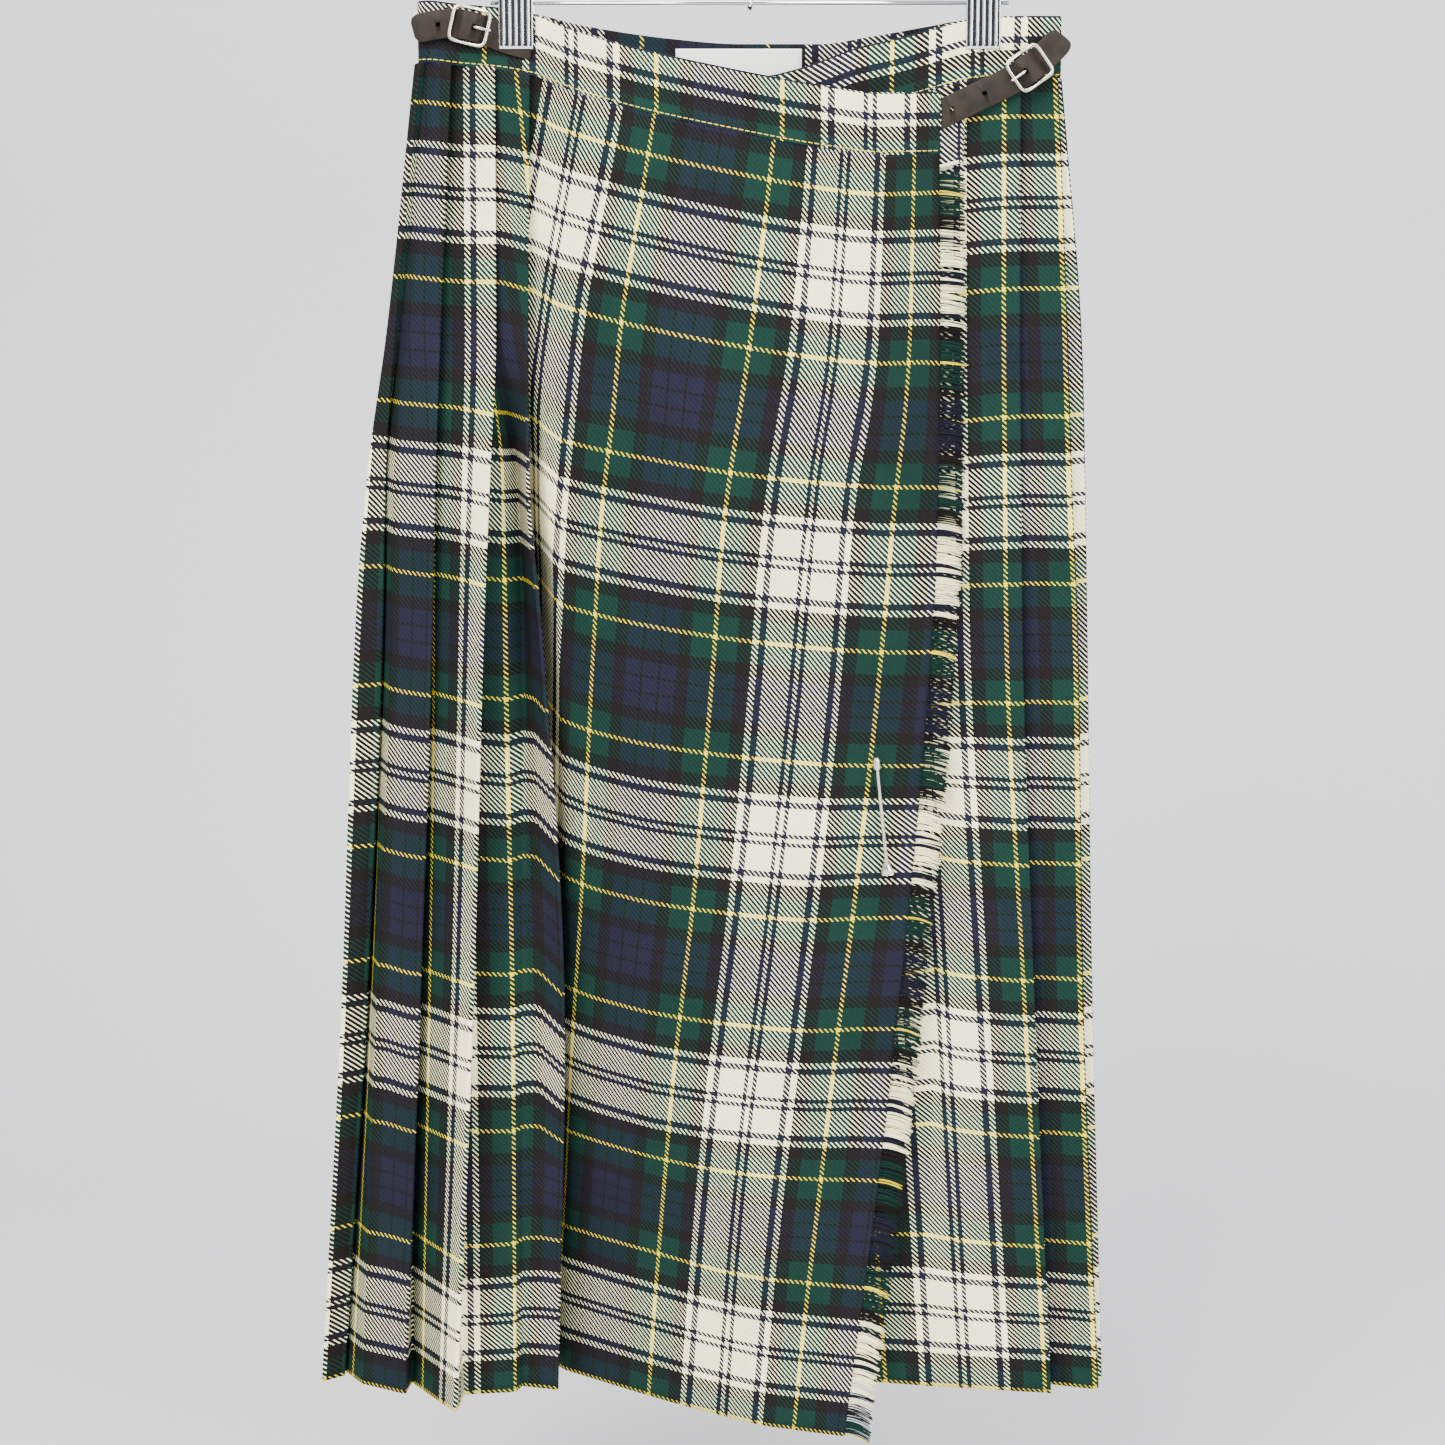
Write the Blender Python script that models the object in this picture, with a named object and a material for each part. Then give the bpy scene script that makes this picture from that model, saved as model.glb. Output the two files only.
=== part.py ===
"""Long kilted wrap skirt in a dress tartan, hanging from a two-clip steel hanger.

The cloth is one long strip of wool twill that goes round the body anticlockwise seen from above: the
under apron, the knife pleats of the right side, back and left side, and the over apron with its fringed
edge.  Every wall is worked out from plan sections: each fold is a row in a table (where it stands at six
heights), or, round the back, a point spaced evenly on a rounded outline.

Frame: +X to the right as the skirt is seen from the front, +Y away from the viewer, +Z up, and the
origin at the top of the inside of the hanger's hook.  Tables are in millimetres.
"""
import math

import bmesh
import bpy
import numpy as np

MM = 0.001

# Cloth
WALL = 1.0                 # modelled thickness of the wool twill
SEAM_GAP = 0.3             # between pieces that are sewn or lie together
TOP_GAP = 0.8              # below the waistband's curved foot
FOLD_WIDTH = 1.6           # middle to middle of the two layers at a fold's edge
BACK_PLEATS = 16           # pleats from the right side round the back to the left side
UNDER_POINTS = 15          # plan points along the flat of each apron
OVER_POINTS = 15
FRINGE_LOCKS = 64
FRINGE_START = 0.012       # just under the tab at the band's lapped end
FRINGE_STRIP = 2.5         # width of the strip that the locks' roots share
FRINGE_LENGTH = 14.5
FRINGE_DROOP = 4.5         # more at the hem than at the top

# Waistband and straps
BAND_WALL = 2.0
BAND_HEIGHT = 33.5
STRAP_WIDTH = 15.6
STRAP_WALL = 2.0
TAB = (104.3, 117.5)       # of cloth, sewn to the lapped end of the band under the right strap
TAB_TOP, TAB_FEET = -150.0, (-184.3, -181.0)
TAB_WALL = 1.4

# Hanger
CLIP_X = 128.0
CLIP_WIDTH = 18.5
CLIP_FOOT = -120.0
CLIP_TOP = -77.0
LEFT_JAW, RIGHT_JAW = 4.75, 2.45       # from the middle to each jaw's face, by the layers it grips
EAR_FOOT = -97.0
SPRING_HEIGHT = -84.0
BAR_HEIGHT = -95.0
BAR_RADIUS = 1.2
BAR_HALF_LENGTH = 142.0
HOOK_WIRE = 1.6
HOOK_RADIUS = 20.0

# Heights of the plan sections, as shares of the way from the waist seam (0) to the hem (1)
SECTIONS = (0.0, 0.187, 0.295, 0.40, 0.69, 1.0)
#            seam  stitched-down end  opening  hip     calf   hem
ROWS = (0.0, 0.06, 0.125, 0.187, 0.24, 0.295, 0.345, 0.40, 0.49, 0.59, 0.69, 0.79, 0.90, 1.0)

# Folds of the front in plan, anticlockwise from the under apron's free edge: the kind of each fold, and
# its X and Y at the six sections.  A ridge is a fold's outer edge, a valley its hidden inner edge, and a
# soft point is cloth that bends without a crease.
UNDER_APRON = (
    ("free_edge", "soft", (-134, -124, -102, -94, -88, -84), (0.4, 5, 14, 20, 30, 44)),
    ("left", "soft", (-50, -50, -46, -42, -40, -40), (-7, -6, 0, 6, 20, 32)),
    ("middle", "soft", (25, 25, 25, 25, 25, 25), (-20, -22, -16, -10, 4, 14)),
    ("right", "soft", (82, 82, 80, 76, 66, 50), (-9, -10, -8, -6, -3, 4)),
    ("behind_fringe", "soft", (114, 114, 114, 112, 108, 104), (-6, -7, -7, -7, -6, -4)),
    ("edge_a", "ridge", (148, 150, 152, 154, 165, 179), (-8, -10, -10, -10, -9, -8)),
)
RIGHT_PLEATS = (
    ("under_a", "valley", (131, 136, 141, 146, 160, 178), (-2.2, -4, -2, 0, 4, 8)),
    ("edge_b", "ridge", (169, 177, 181, 186, 194, 208), (-5, -6, -6, -5, -3, 0)),
    ("under_b", "valley", (158, 166, 172, 178, 188, 204), (1, 1, 3, 5, 9, 14)),
)
LEFT_PLEATS = (
    ("side", "soft", (-183.8, -202, -215, -223, -236.5, -254), (-2.5, 0, 0, 0.5, 5, 9)),
    ("edge_1", "ridge", (-181, -198, -205.3, -208.5, -222.7, -242), (-6, -1, 2.5, 5.5, 13, 18.5)),
    ("under_1", "valley", (-178.5, -195.5, -206.5, -209.5, -223, -242.5), (-1.5, 4.5, 9, 12.5, 21, 25)),
    ("knee_1", "soft", (-172, -189, -199.5, -202, -215.5, -229.5), (-5, -2.5, -2.5, -1.5, 0.5, 6)),
    ("edge_2", "ridge", (-164, -172, -176, -179, -190, -203), (-8, -9, -12, -12, -11, -9)),
    ("under_2", "valley", (-170, -184, -187, -187, -196, -200), (1, 3, 4, 4, 7, 7)),
    ("edge_3", "ridge", (-140, -141, -145, -149, -158, -171), (-8.5, -12, -22, -27, -32, -35)),
    ("under_3", "valley", (-160, -161, -165, -168, -175, -168), (1, -1, -4, -5, -7, -10)),
    ("yellow_line", "soft", (-144, -145, -139, -139, -137, -138), (-3, -5.5, 2, -1, -6, -6)),
    ("crease", "soft", (-139, -140, -131, -129, -131, -134), (-4.2, -6.5, 12, 11, 0, 3)),
    ("edge_4", "ridge", (-121, -123, -124, -118, -107, -113), (-9, -13, -8, -8, -6, -2)),
    ("under_4", "valley", (-137, -138, -129, -122, -124, -138), (-2.2, 1.5, 24, 26, 36, 60)),
)
OVER_APRON = (
    ("roll", "soft", (-114, -115, -113, -109, -104, -110), (-3.5, -6, 0, 4, 14, 30)),
    ("left", "soft", (-60, -60, -59, -56, -57, -68), (-16, -22, -20, -18, -4, 12)),
    ("middle", "soft", (-5, -5, -4, -4, -10, -26), (-30, -36, -34, -30, -18, -4)),
    ("right", "soft", (50, 50, 50, 49, 36, 16), (-34, -42, -38, -34, -26, -16)),
    ("fringe_edge", "soft", (104, 106, 105, 101, 83, 57), (-12.5, -13.5, -16, -20, -22, -18)),
)

# The outline of the sides and back at the six sections: its right and left ends, their depth, and the
# depth of the middle of the back.
RIGHT_END_X = (171.7, 186, 190, 193, 201, 212)
LEFT_END_X = (-184, -201, -213.5, -221.5, -235, -252.5)
END_Y = (3, 5, 8, 10, 13, 16)
BACK_Y = (26, 46, 58, 68, 88, 104)
SQUARENESS = (2.2, 2.4, 2.5, 2.6, 2.6, 2.6)     # of the outline: 2 is an ellipse, more is squarer
PLEAT_RISE = (5.4, 6.0, 8, 10, 14, 17)          # from a back pleat's valley out to its edge
PLEAT_LAP = (12, 13, 11, 7, 1, -4)              # how far a back pleat's valley is tucked under
SIDE_DEPTH = (14, 22, 30, 38, 45, 45)           # from each end, where the folds turn round the side
OPEN_AT_SIDE = 3.0         # the first back pleat's valley, past the right side
CLIP_PINCH = 11.0          # how far the clips press the back in
PINCH_WIDTH = 20.0

# The waistband, one strip that goes round once and laps over itself in front: X, Y at its foot, Y at its
# top, and Z of its foot, anticlockwise from the end hidden under the over apron
WAISTBAND = (
    (-141, 0.6, 1.15, -131.8), (-115.5, 0.3, 1.15, -135.6), (-98, -0.5, 0.5, -143), (-60, -5, -3.5, -160),
    (-22, -12, -10, -167), (6, -16.5, -14, -168), (25, -20, -17, -164.5), (60, -17, -14, -152.5),
    (82, -10.5, -9, -147.5),
    (110, -6, -3, -139.5), (116.5, -5, -1.15, -137.8), (139.5, -5, -1.15, -135.6), (152, -4, -1.5, -135.5),
    (164, -2, -0.5, -135.5), (170.5, 3, 3, -135.4), (165, 9, 7, -135.3), (151, 11.5, 8, -135.3),
    (139.5, 7.5, 1.15, -135.6), (116.5, 8, 1.15, -137.8), (100, 15.5, 12, -140.5), (66, 21.5, 19, -146.2),
    (38, 23, 20.5, -150), (-5, 23.3, 20.5, -150), (-45, 22.5, 20, -147), (-79, 20, 18, -142.4),
    (-100, 16, 13.5, -138.5), (-116.5, 9, 3.45, -134.6), (-139.5, 8.5, 3.45, -131.6), (-155, 11, 8, -130.5),
    (-171, 10, 7.5, -129), (-181.5, 3, 2.5, -127.5), (-175, -4.5, -1.8, -127.3), (-160, -5, -2, -129),
    (-139.5, -5, -1.15, -130.8), (-116.5, -5, -1.15, -135), (-103, -6.5, -4, -140.5), (-65, -15, -12, -152),
    (-16, -28, -24, -163), (36, -35, -31, -172.7), (70, -28, -25, -177), (104, -12.3, -11, -176.5),
)
HIDDEN_END, RIGHT_SIDE, LEFT_SIDE, FRONT_END = 0, 14, 30, 40         # rows where the strip turns
BAND_SHARES = (0.0, 0.78, 0.9, 1.0)        # the rows of the wall from its top (0) to its foot (1)
BAND_FLARE = (0.0, 0.0, 0.6, 1.0)          # how far each row has left the top's line for the foot's

# Hems: X and Z
APRON_HEM = ((-110, -899), (-26, -911), (57, -921))
UNDER_HEM = ((-84, -894), (50, -894), (179, -898))
PLEAT_HEM = ((-254, -898), (212, -899))

# Straps: X and Z of the middle, and how far the leather's middle stands off the wall behind it
RIGHT_STRAP = ((104.8, -155, 1.4), (117, -149.3, 1.4), (128.4, -143.9, 1.5), (138, -139.3, 2.2),
               (145.6, -135.1, 4.2), (149, -132.7, 6.8), (152.4, -130.3, 7.2), (155.8, -127.9, 6.8),
               (159.2, -125.3, 4.3), (165, -120.2, 3.4), (169, -116, 3.3), (171.6, -112.8, 3.2))
LEFT_STRAP = ((-119.2, -117.9, 1.3), (-126, -116.6, 1.3), (-133, -114.6, 1.3), (-141.4, -111.4, 1.3),
              (-145.2, -110, 4.2), (-149.2, -108.7, 6.8), (-153.1, -107.6, 7.2), (-157.1, -106.8, 6.8),
              (-161.2, -106.3, 4.3), (-169, -106.7, 3.4), (-177, -108, 3.3), (-184.4, -109.9, 3.2))
# The walls that the straps lie on: X, then Y at each
RIGHT_STRAP_BASE = (105, 117, 128, 146, 153, 160, 166, 172), (-11.6, -11.2, -10.4, -9.8, -9, -6, -2.8, -2.4)
LEFT_STRAP_BASE = (-185, -181, -160, -150, -139, -119), (-2.2, -3, -3.2, -2.9, -2.15, -2.15)
RIGHT_HOLES = ((110.5, -152.2), (128.4, -143.7))
LEFT_HOLES = ((-170.5, -106.8),)
HOLE_RADIUS = 1.3
PRONG_HOLE_AT, PRONG_HOLE_RADIUS = 2.9, 1.75

# Buckles, in their own frame: along the strap, across it, and off the wall behind
BUCKLE_HALF_LENGTH = 10.0
BUCKLE_HALF_WIDTH = 9.45
BUCKLE_WIRE = 1.1
BUCKLE_CORNER = 0.32       # power of the outline: 0 is square and 1 is round
CENTRE_BAR_RADIUS = 0.95
OUTER_BAR_OFF = 7.05
CENTRE_BAR_OFF = 4.95
PRONG = ((2.0, 4.95), (1.45, 3.5), (0, 2.9), (-1.45, 3.5), (-2.2, 5.0), (-2.8, 8.0), (-4.6, 9.3),
         (-8, 9.35), (-12, 9.25))
PRONG_RADIUS, PRONG_TIP_RADIUS = 0.8, 0.55

KEEPER_WALL = 1.4
KEEPER_SPAN = (-3.5, 15)   # of the leather tab under the buckle, from its middle bar along the strap

# Kilt pin: X and Z of the top and foot of its bar
PIN_TOP = (71.5, -512.0)
PIN_FOOT = (78.3, -575.0)
PIN_WIRE = 0.95
PIN_HOLES = (0.875, 0.125)               # where the needle goes through the cloth, as shares of its length
PIN_HOLE_RADIUS = 3.4
# The pin's wire, from the clasp down the bar, round the coil and back behind the cloth: share of its
# length, and how far in front of the cloth
PIN_ROUTE = ((0, 4.2), (0.03, 4.9), (0.5, 4.4), (0.93, 4.8), (0.96, 4.7), (0.985, 4.3), (0.995, 3.5),
             (0.985, 2.7), (0.955, 2.3), (0.92, 1.9), (0.885, 0.6), (0.86, -1.4), (0.8, -2.4),
             (0.5, -2.5), (0.2, -2.4), (0.14, -1.4), (0.115, 0.6), (0.09, 2.2), (0.06, 2.6))
# Its two caps: name, then share of its length, half-width and half-depth at four rings
PIN_CAPS = (("clasp", (-0.03, 0, 0.06, 0.085), (1.6, 2.3, 2.3, 1.9), (1.6, 2.1, 2.1, 1.9)),
            ("coil_cap", (0.94, 0.98, 1.03, 1.06), (1.9, 2.6, 4, 4.2), (1.5, 2, 2.2, 1.8)))
PIN_CAP_OFF = 3.6

# Label inside the back of the band
LABEL = (-41.0, 29.0)
LABEL_TOP, LABEL_FOOT = -119.2, -139.4
LABEL_WALL = 0.8


def through(at, values, x):
    """A smooth curve through values at places `at`, without overshoot (monotone cubic)."""
    at = np.asarray(at, float)
    values = np.asarray(values, float)
    x = np.clip(np.asarray(x, float), at[0], at[-1])
    run = np.diff(at)
    rise = np.diff(values) / run
    slope = np.zeros(len(at))
    slope[0], slope[-1] = rise[0], rise[-1]
    for i in range(1, len(at) - 1):
        if rise[i - 1] * rise[i] > 0:
            slope[i] = 2 * rise[i - 1] * rise[i] / (rise[i - 1] + rise[i])
    k = np.clip(np.searchsorted(at, x, side="right") - 1, 0, len(run) - 1)
    t = (x - at[k]) / run[k]
    keep = 2 * t**3 - 3 * t**2 + 1
    return (keep * values[k] + (1 - keep) * values[k + 1]
            + (t**3 - 2 * t**2 + t) * run[k] * slope[k] + (t**3 - t**2) * run[k] * slope[k + 1])


def along(table, x):
    """Z on a table of (X, Z) pairs."""
    xs, zs = zip(*table)
    return through(xs, zs, x)


def band_line(first, last):
    """X, Y at the foot, Y at the top and Z of the foot along the waistband, with a point between rows."""
    rows = np.array(WAISTBAND, float)
    count = np.arange(len(rows))
    fine = np.linspace(first, last, 2 * (last - first) + 1)
    return [through(count, rows[:, i], fine) for i in range(4)]


def band_foot(x, first, last):
    """Z of the waistband's foot over x, between two of its rows."""
    xs, _, _, foot_z = band_line(first, last)
    order = np.argsort(xs)
    return np.interp(x, xs[order], foot_z[order])


def band_face(x, z, first, last, out):
    """Y of the waistband's face at x and z, between two of its rows; out is the way that face looks."""
    xs, foot_y, top_y, foot_z = band_line(first, last)
    order = np.argsort(xs)
    foot, top, low = [np.interp(x, xs[order], values[order]) for values in (foot_y, top_y, foot_z)]
    flare = np.interp((low + BAND_HEIGHT - z) / BAND_HEIGHT, BAND_SHARES, BAND_FLARE)
    return top + (foot - top) * flare + out * BAND_WALL / 2


def at_section(values, v):
    return float(through(SECTIONS, values, v))


def corners_of(table, v):
    """The rows of a fold table at height v, as (kind, point)."""
    return [(kind, np.array([at_section(xs, v), at_section(ys, v)])) for _, kind, xs, ys in table]


def outline(v, steps=240):
    """The sides and back in plan: points from the right end anticlockwise to the left end, their
    distance along the outline, and the way inwards at each."""
    right, left = at_section(RIGHT_END_X, v), at_section(LEFT_END_X, v)
    end_y, back_y = at_section(END_Y, v), at_section(BACK_Y, v)
    turn = np.linspace(0, math.pi, steps)
    power = 2 / at_section(SQUARENESS, v)
    x = (right + left) / 2 + (right - left) / 2 * np.sign(np.cos(turn)) * np.abs(np.cos(turn))**power
    y = end_y + (back_y - end_y) * np.sin(turn)**power
    grip = CLIP_PINCH * math.exp(-(v / 0.12)**2)
    y = y - grip * np.exp(-((np.abs(x) - CLIP_X) / PINCH_WIDTH)**2)
    points = np.stack([x, y], 1)
    run = np.concatenate([[0], np.cumsum(np.linalg.norm(np.diff(points, axis=0), axis=1))])
    depth = at_section(SIDE_DEPTH, v)
    spine = np.stack([np.clip(x, left + depth, right - depth), np.full(steps, end_y - 1)], 1)
    return points, run, spine - points


def on_outline(shape, distance, inset):
    points, run, inward = shape
    where = np.array([np.interp(distance, run, points[:, i]) for i in (0, 1)])
    way = np.array([np.interp(distance, run, inward[:, i]) for i in (0, 1)])
    return where + way / np.linalg.norm(way) * inset


def back_corners(v):
    """Ridge and valley of each back pleat, evenly spaced; the first valley lies open at the side, and the
    last pleat goes on round the side without an edge."""
    shape = outline(v)
    length = shape[1][-1]
    rise, lap = at_section(PLEAT_RISE, v), at_section(PLEAT_LAP, v)
    corners = [("ridge", on_outline(shape, 0.0, 0.0))]
    for k in range(1, BACK_PLEATS + 1):
        ease = min(1, (k - 1) / 3, (BACK_PLEATS + 2 - k) / 4)
        tucked = length * (k - 1) / BACK_PLEATS - (lap * ease - OPEN_AT_SIDE * (1 - ease))
        edge = length * k / BACK_PLEATS
        corners.append(("valley", on_outline(shape, tucked, rise)))
        corners.append(("soft", on_outline(shape, (tucked + edge) / 2, rise / 2)))
        corners.append(("ridge" if k < BACK_PLEATS else "soft", on_outline(shape, edge, 0.0)))
    return corners


def folded_path(corners):
    """Plan points of the cloth's middle: two for each ridge or valley, one for a soft point."""
    path = []
    for i, (kind, point) in enumerate(corners):
        if kind == "soft":
            path.append(point)
            continue
        into = point - corners[i - 1][1]
        out_of = corners[i + 1][1] - point
        tip = into / np.linalg.norm(into) - out_of / np.linalg.norm(out_of)
        tip /= np.linalg.norm(tip)
        side = np.array([-tip[1], tip[0]]) * (1 if kind == "ridge" else -1)
        path += [point - side * FOLD_WIDTH / 2, point + side * FOLD_WIDTH / 2]
    return np.array(path)


def softened(points, steps):
    """A smooth plan curve through soft points, with `steps` evenly shared points."""
    share = np.concatenate([[0], np.cumsum(np.linalg.norm(np.diff(points, axis=0), axis=1))])
    even = np.linspace(0, share[-1], steps)
    return np.stack([through(share, points[:, i], even) for i in (0, 1)], 1)


def thickened(path, wall):
    """The two faces of a wall whose middle is `path` in plan, mitred at its corners."""
    step = np.diff(path, axis=0)
    step /= np.linalg.norm(step, axis=1)[:, None]
    right_of = np.stack([step[:, 1], -step[:, 0]], 1)
    before = np.vstack([right_of[:1], right_of])
    after = np.vstack([right_of, right_of[-1:]])
    mitre = before + after
    mitre /= np.maximum(np.linalg.norm(mitre, axis=1), 0.35)[:, None]
    reach = wall / 2 / np.clip((mitre * before).sum(1), 0.45, 1)
    return path + mitre * reach[:, None], path - mitre * reach[:, None]


def material(name, colour, rough, metallic=0.0):
    made = bpy.data.materials.new(name)
    made.use_nodes = True
    shader = made.node_tree.nodes["Principled BSDF"]
    shader.inputs["Base Color"].default_value = (*colour, 1)
    shader.inputs["Roughness"].default_value = rough
    shader.inputs["Metallic"].default_value = metallic
    made.diffuse_color = (*colour, 1)
    return made


def add_object(name, verts, faces, finish, smooth=False):
    """A named mesh object; verts in millimetres."""
    mesh = bpy.data.meshes.new(name)
    mesh.from_pydata((np.asarray(verts, float) * MM).tolist(), [], faces)
    body = bmesh.new()
    body.from_mesh(mesh)
    bmesh.ops.recalc_face_normals(body, faces=body.faces)
    body.to_mesh(mesh)
    body.free()
    if smooth:
        mesh.shade_smooth()
    mesh.materials.append(finish)
    made = bpy.data.objects.new(name, mesh)
    bpy.context.collection.objects.link(made)
    return made


def wall_faces(rows, columns):
    """Quads of a closed wall whose points are rows x columns on the outer face, then on the inner."""
    inner = rows * columns
    faces = []
    for i in range(rows - 1):
        for j in range(columns - 1):
            a, b = i * columns + j, (i + 1) * columns + j
            faces.append((a, b, b + 1, a + 1))
            faces.append((inner + a, inner + a + 1, inner + b + 1, inner + b))
    for j in range(columns - 1):
        foot = (rows - 1) * columns + j
        faces.append((j, j + 1, inner + j + 1, inner + j))
        faces.append((foot, inner + foot, inner + foot + 1, foot + 1))
    for i in range(rows - 1):
        a, b = i * columns, (i + 1) * columns
        faces.append((a, inner + a, inner + b, b))
        a, b = a + columns - 1, b + columns - 1
        faces.append((a, b, inner + b, inner + a))
    return faces


def cloth_wall(name, paths, heights, wall, finish):
    """A wall of cloth from one plan path and one set of heights for each row, top to hem."""
    outer, inner = [], []
    for path, z in zip(paths, heights):
        out_side, in_side = thickened(path, wall)
        outer.append(np.column_stack([out_side, z]))
        inner.append(np.column_stack([in_side, z]))
    verts = np.vstack([np.vstack(outer), np.vstack(inner)])
    return add_object(name, verts, wall_faces(len(paths), len(paths[0])), finish)


def sliced(path, start, end):
    """Part of a path between two places (index plus share), half a seam gap short at each cut."""
    def at(place, back_off):
        i = int(place)
        if i >= len(path) - 1:
            return path[-1]
        step = path[i + 1] - path[i]
        size = np.linalg.norm(step)
        return path[i] + step * (place - i) + step / size * back_off
    first, last = int(start) + 1, int(math.ceil(end))
    ends = [at(start, SEAM_GAP / 2 if start > 0 else 0)], [at(end, -SEAM_GAP / 2)]
    return np.vstack([ends[0], path[first:last], ends[1]])


def whole_wall(v):
    """The plan path of the whole strip of cloth at height v, from the hidden free edge to the fringe."""
    corners = (corners_of(UNDER_APRON, v) + corners_of(RIGHT_PLEATS, v) + back_corners(v)
               + corners_of(LEFT_PLEATS, v) + corners_of(OVER_APRON, v))
    path = folded_path(corners)
    flat = len(UNDER_APRON) - 1
    over = len(OVER_APRON)
    return np.vstack([softened(path[:flat], UNDER_POINTS), path[flat:-over],
                      softened(path[-over:], OVER_POINTS)])


def seam_and_hem(path_top, path_foot, marks):
    """Z of the cloth's top and hem at each plan point; marks are the points at the right side, the left
    side and the start of the over apron."""
    right, left, over = marks
    top = np.concatenate([band_foot(path_top[:right, 0], HIDDEN_END, RIGHT_SIDE),
                          band_foot(path_top[right:left, 0], RIGHT_SIDE, LEFT_SIDE),
                          band_foot(path_top[left:, 0], LEFT_SIDE, FRONT_END)]) - TOP_GAP
    foot = along(PLEAT_HEM, path_foot[:, 0])
    foot[:UNDER_POINTS + 2] = along(UNDER_HEM, path_foot[:UNDER_POINTS + 2, 0])
    foot[over:] = along(APRON_HEM, path_foot[over:, 0])
    return top, foot


def build_cloth(finish):
    """The skirt's cloth, in six pieces that meet at seams hidden under folds."""
    plans = [whole_wall(v) for v in ROWS]
    last = len(plans[0]) - 1
    edge_a = UNDER_POINTS + 1                        # a fold's edge is two points: these are second ones
    back_edge = edge_a + 2 * len(RIGHT_PLEATS) + 2
    left_edge = back_edge + 5 * BACK_PLEATS - 1
    edge_4 = last - OVER_POINTS - 2
    top, foot = seam_and_hem(plans[0], plans[-1], (back_edge, left_edge, last - OVER_POINTS + 1))
    walls = [np.column_stack([plan, top + (foot - top) * v]) for plan, v in zip(plans, ROWS)]
    cuts = [0, edge_a + 0.5] + [back_edge + 5 * k + 0.5 for k in (3, 8, 13)] + [edge_4 + 0.5, last]
    names = ("under_apron", "pleats_right", "pleats_back_right", "pleats_back_left", "pleats_left",
             "over_apron")
    for name, start, end in zip(names, cuts, cuts[1:]):
        parts = [sliced(wall, start, end) for wall in walls]
        cloth_wall(name, [part[:, :2] for part in parts], [part[:, 2] for part in parts], WALL, finish)


def build_band(finish):
    """The waistband: one wall along its table, flaring at the foot over the pleats' tops."""
    x, foot_y, top_y, foot_z = band_line(HIDDEN_END, FRONT_END)
    paths, heights = [], []
    for share, flare in zip(BAND_SHARES, BAND_FLARE):
        paths.append(np.column_stack([x, top_y + (foot_y - top_y) * flare]))
        heights.append(foot_z + BAND_HEIGHT * (1 - share))
    cloth_wall("waistband", paths, heights, BAND_WALL, finish)


def build_tab(finish):
    """The flat tab of cloth behind the right strap's root."""
    middle = [strap_base(at, True) - 0.1 + TAB_WALL / 2 for at in TAB]
    path = np.column_stack([TAB, middle])
    heights = [np.full(len(TAB), TAB_TOP), np.array(TAB_FEET)]
    cloth_wall("band_tab", [path, path], heights, TAB_WALL, finish)


def fringe_way(path):
    """The way the fringe stands off the over apron's edge, less turned in than the cloth is."""
    run = (path[-1] - path[-2]) * (1, 0.15)
    return run / np.linalg.norm(run)


def build_fringe(finish):
    """Locks of fringe along the over apron's edge, their roots in one narrow strip."""
    levels = np.linspace(FRINGE_START, 0.996, 2 * FRINGE_LOCKS + 1)
    verts, faces = [], []
    top_z = WAISTBAND[FRONT_END][3] - SEAM_GAP
    for n, v in enumerate(levels):
        path = whole_wall(v)
        edge, run = path[-1], fringe_way(path)
        side = np.array([run[1], -run[0]]) * WALL / 2
        z = top_z + (APRON_HEM[-1][1] - top_z) * v
        near, far = edge + run * SEAM_GAP, edge + run * (SEAM_GAP + FRINGE_STRIP)
        for point in (near + side, far + side, far - side, near - side):
            verts.append((*point, z))
        if n:
            a, b = 4 * (n - 1), 4 * n
            faces += [(a, b, b + 1, a + 1), (a + 2, b + 2, b + 3, a + 3), (a + 3, b + 3, b, a)]
            if n % 2:
                faces.append((a + 1, b + 1, b + 2, a + 2))
    faces += [(0, 1, 2, 3), (4 * len(levels) - 4, 4 * len(levels) - 1, 4 * len(levels) - 2,
                             4 * len(levels) - 3)]
    for lock in range(FRINGE_LOCKS):
        a = 4 * (2 * lock + 1)
        ring = [a + 1, a + 5, a + 6, a + 2]
        root = np.array([verts[i] for i in ring])
        run = np.array([*fringe_way(whole_wall(levels[2 * lock + 1])), 0])
        sway = math.sin(lock * 2.4)
        reach = FRINGE_LENGTH - FRINGE_STRIP + 1.2 * math.sin(lock * 1.7)
        droop = 1.0 + FRINGE_DROOP * lock / FRINGE_LOCKS + 0.8 * math.sin(lock * 3.1)
        for share, size in ((0.55, 0.9), (1.0, 0.35)):
            middle = root.mean(0)
            shift = run * reach * share + np.array([0, 0.5 * sway * share, -droop * share**2])
            start = len(verts)
            verts += [tuple(middle + (corner - middle) * size + shift) for corner in root]
            tip = [start, start + 1, start + 2, start + 3]
            faces += [(ring[i], ring[(i + 1) % 4], tip[(i + 1) % 4], tip[i]) for i in range(4)]
            ring = tip
        faces.append(tuple(ring))
    add_object("fringe", verts, faces, finish)


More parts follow.
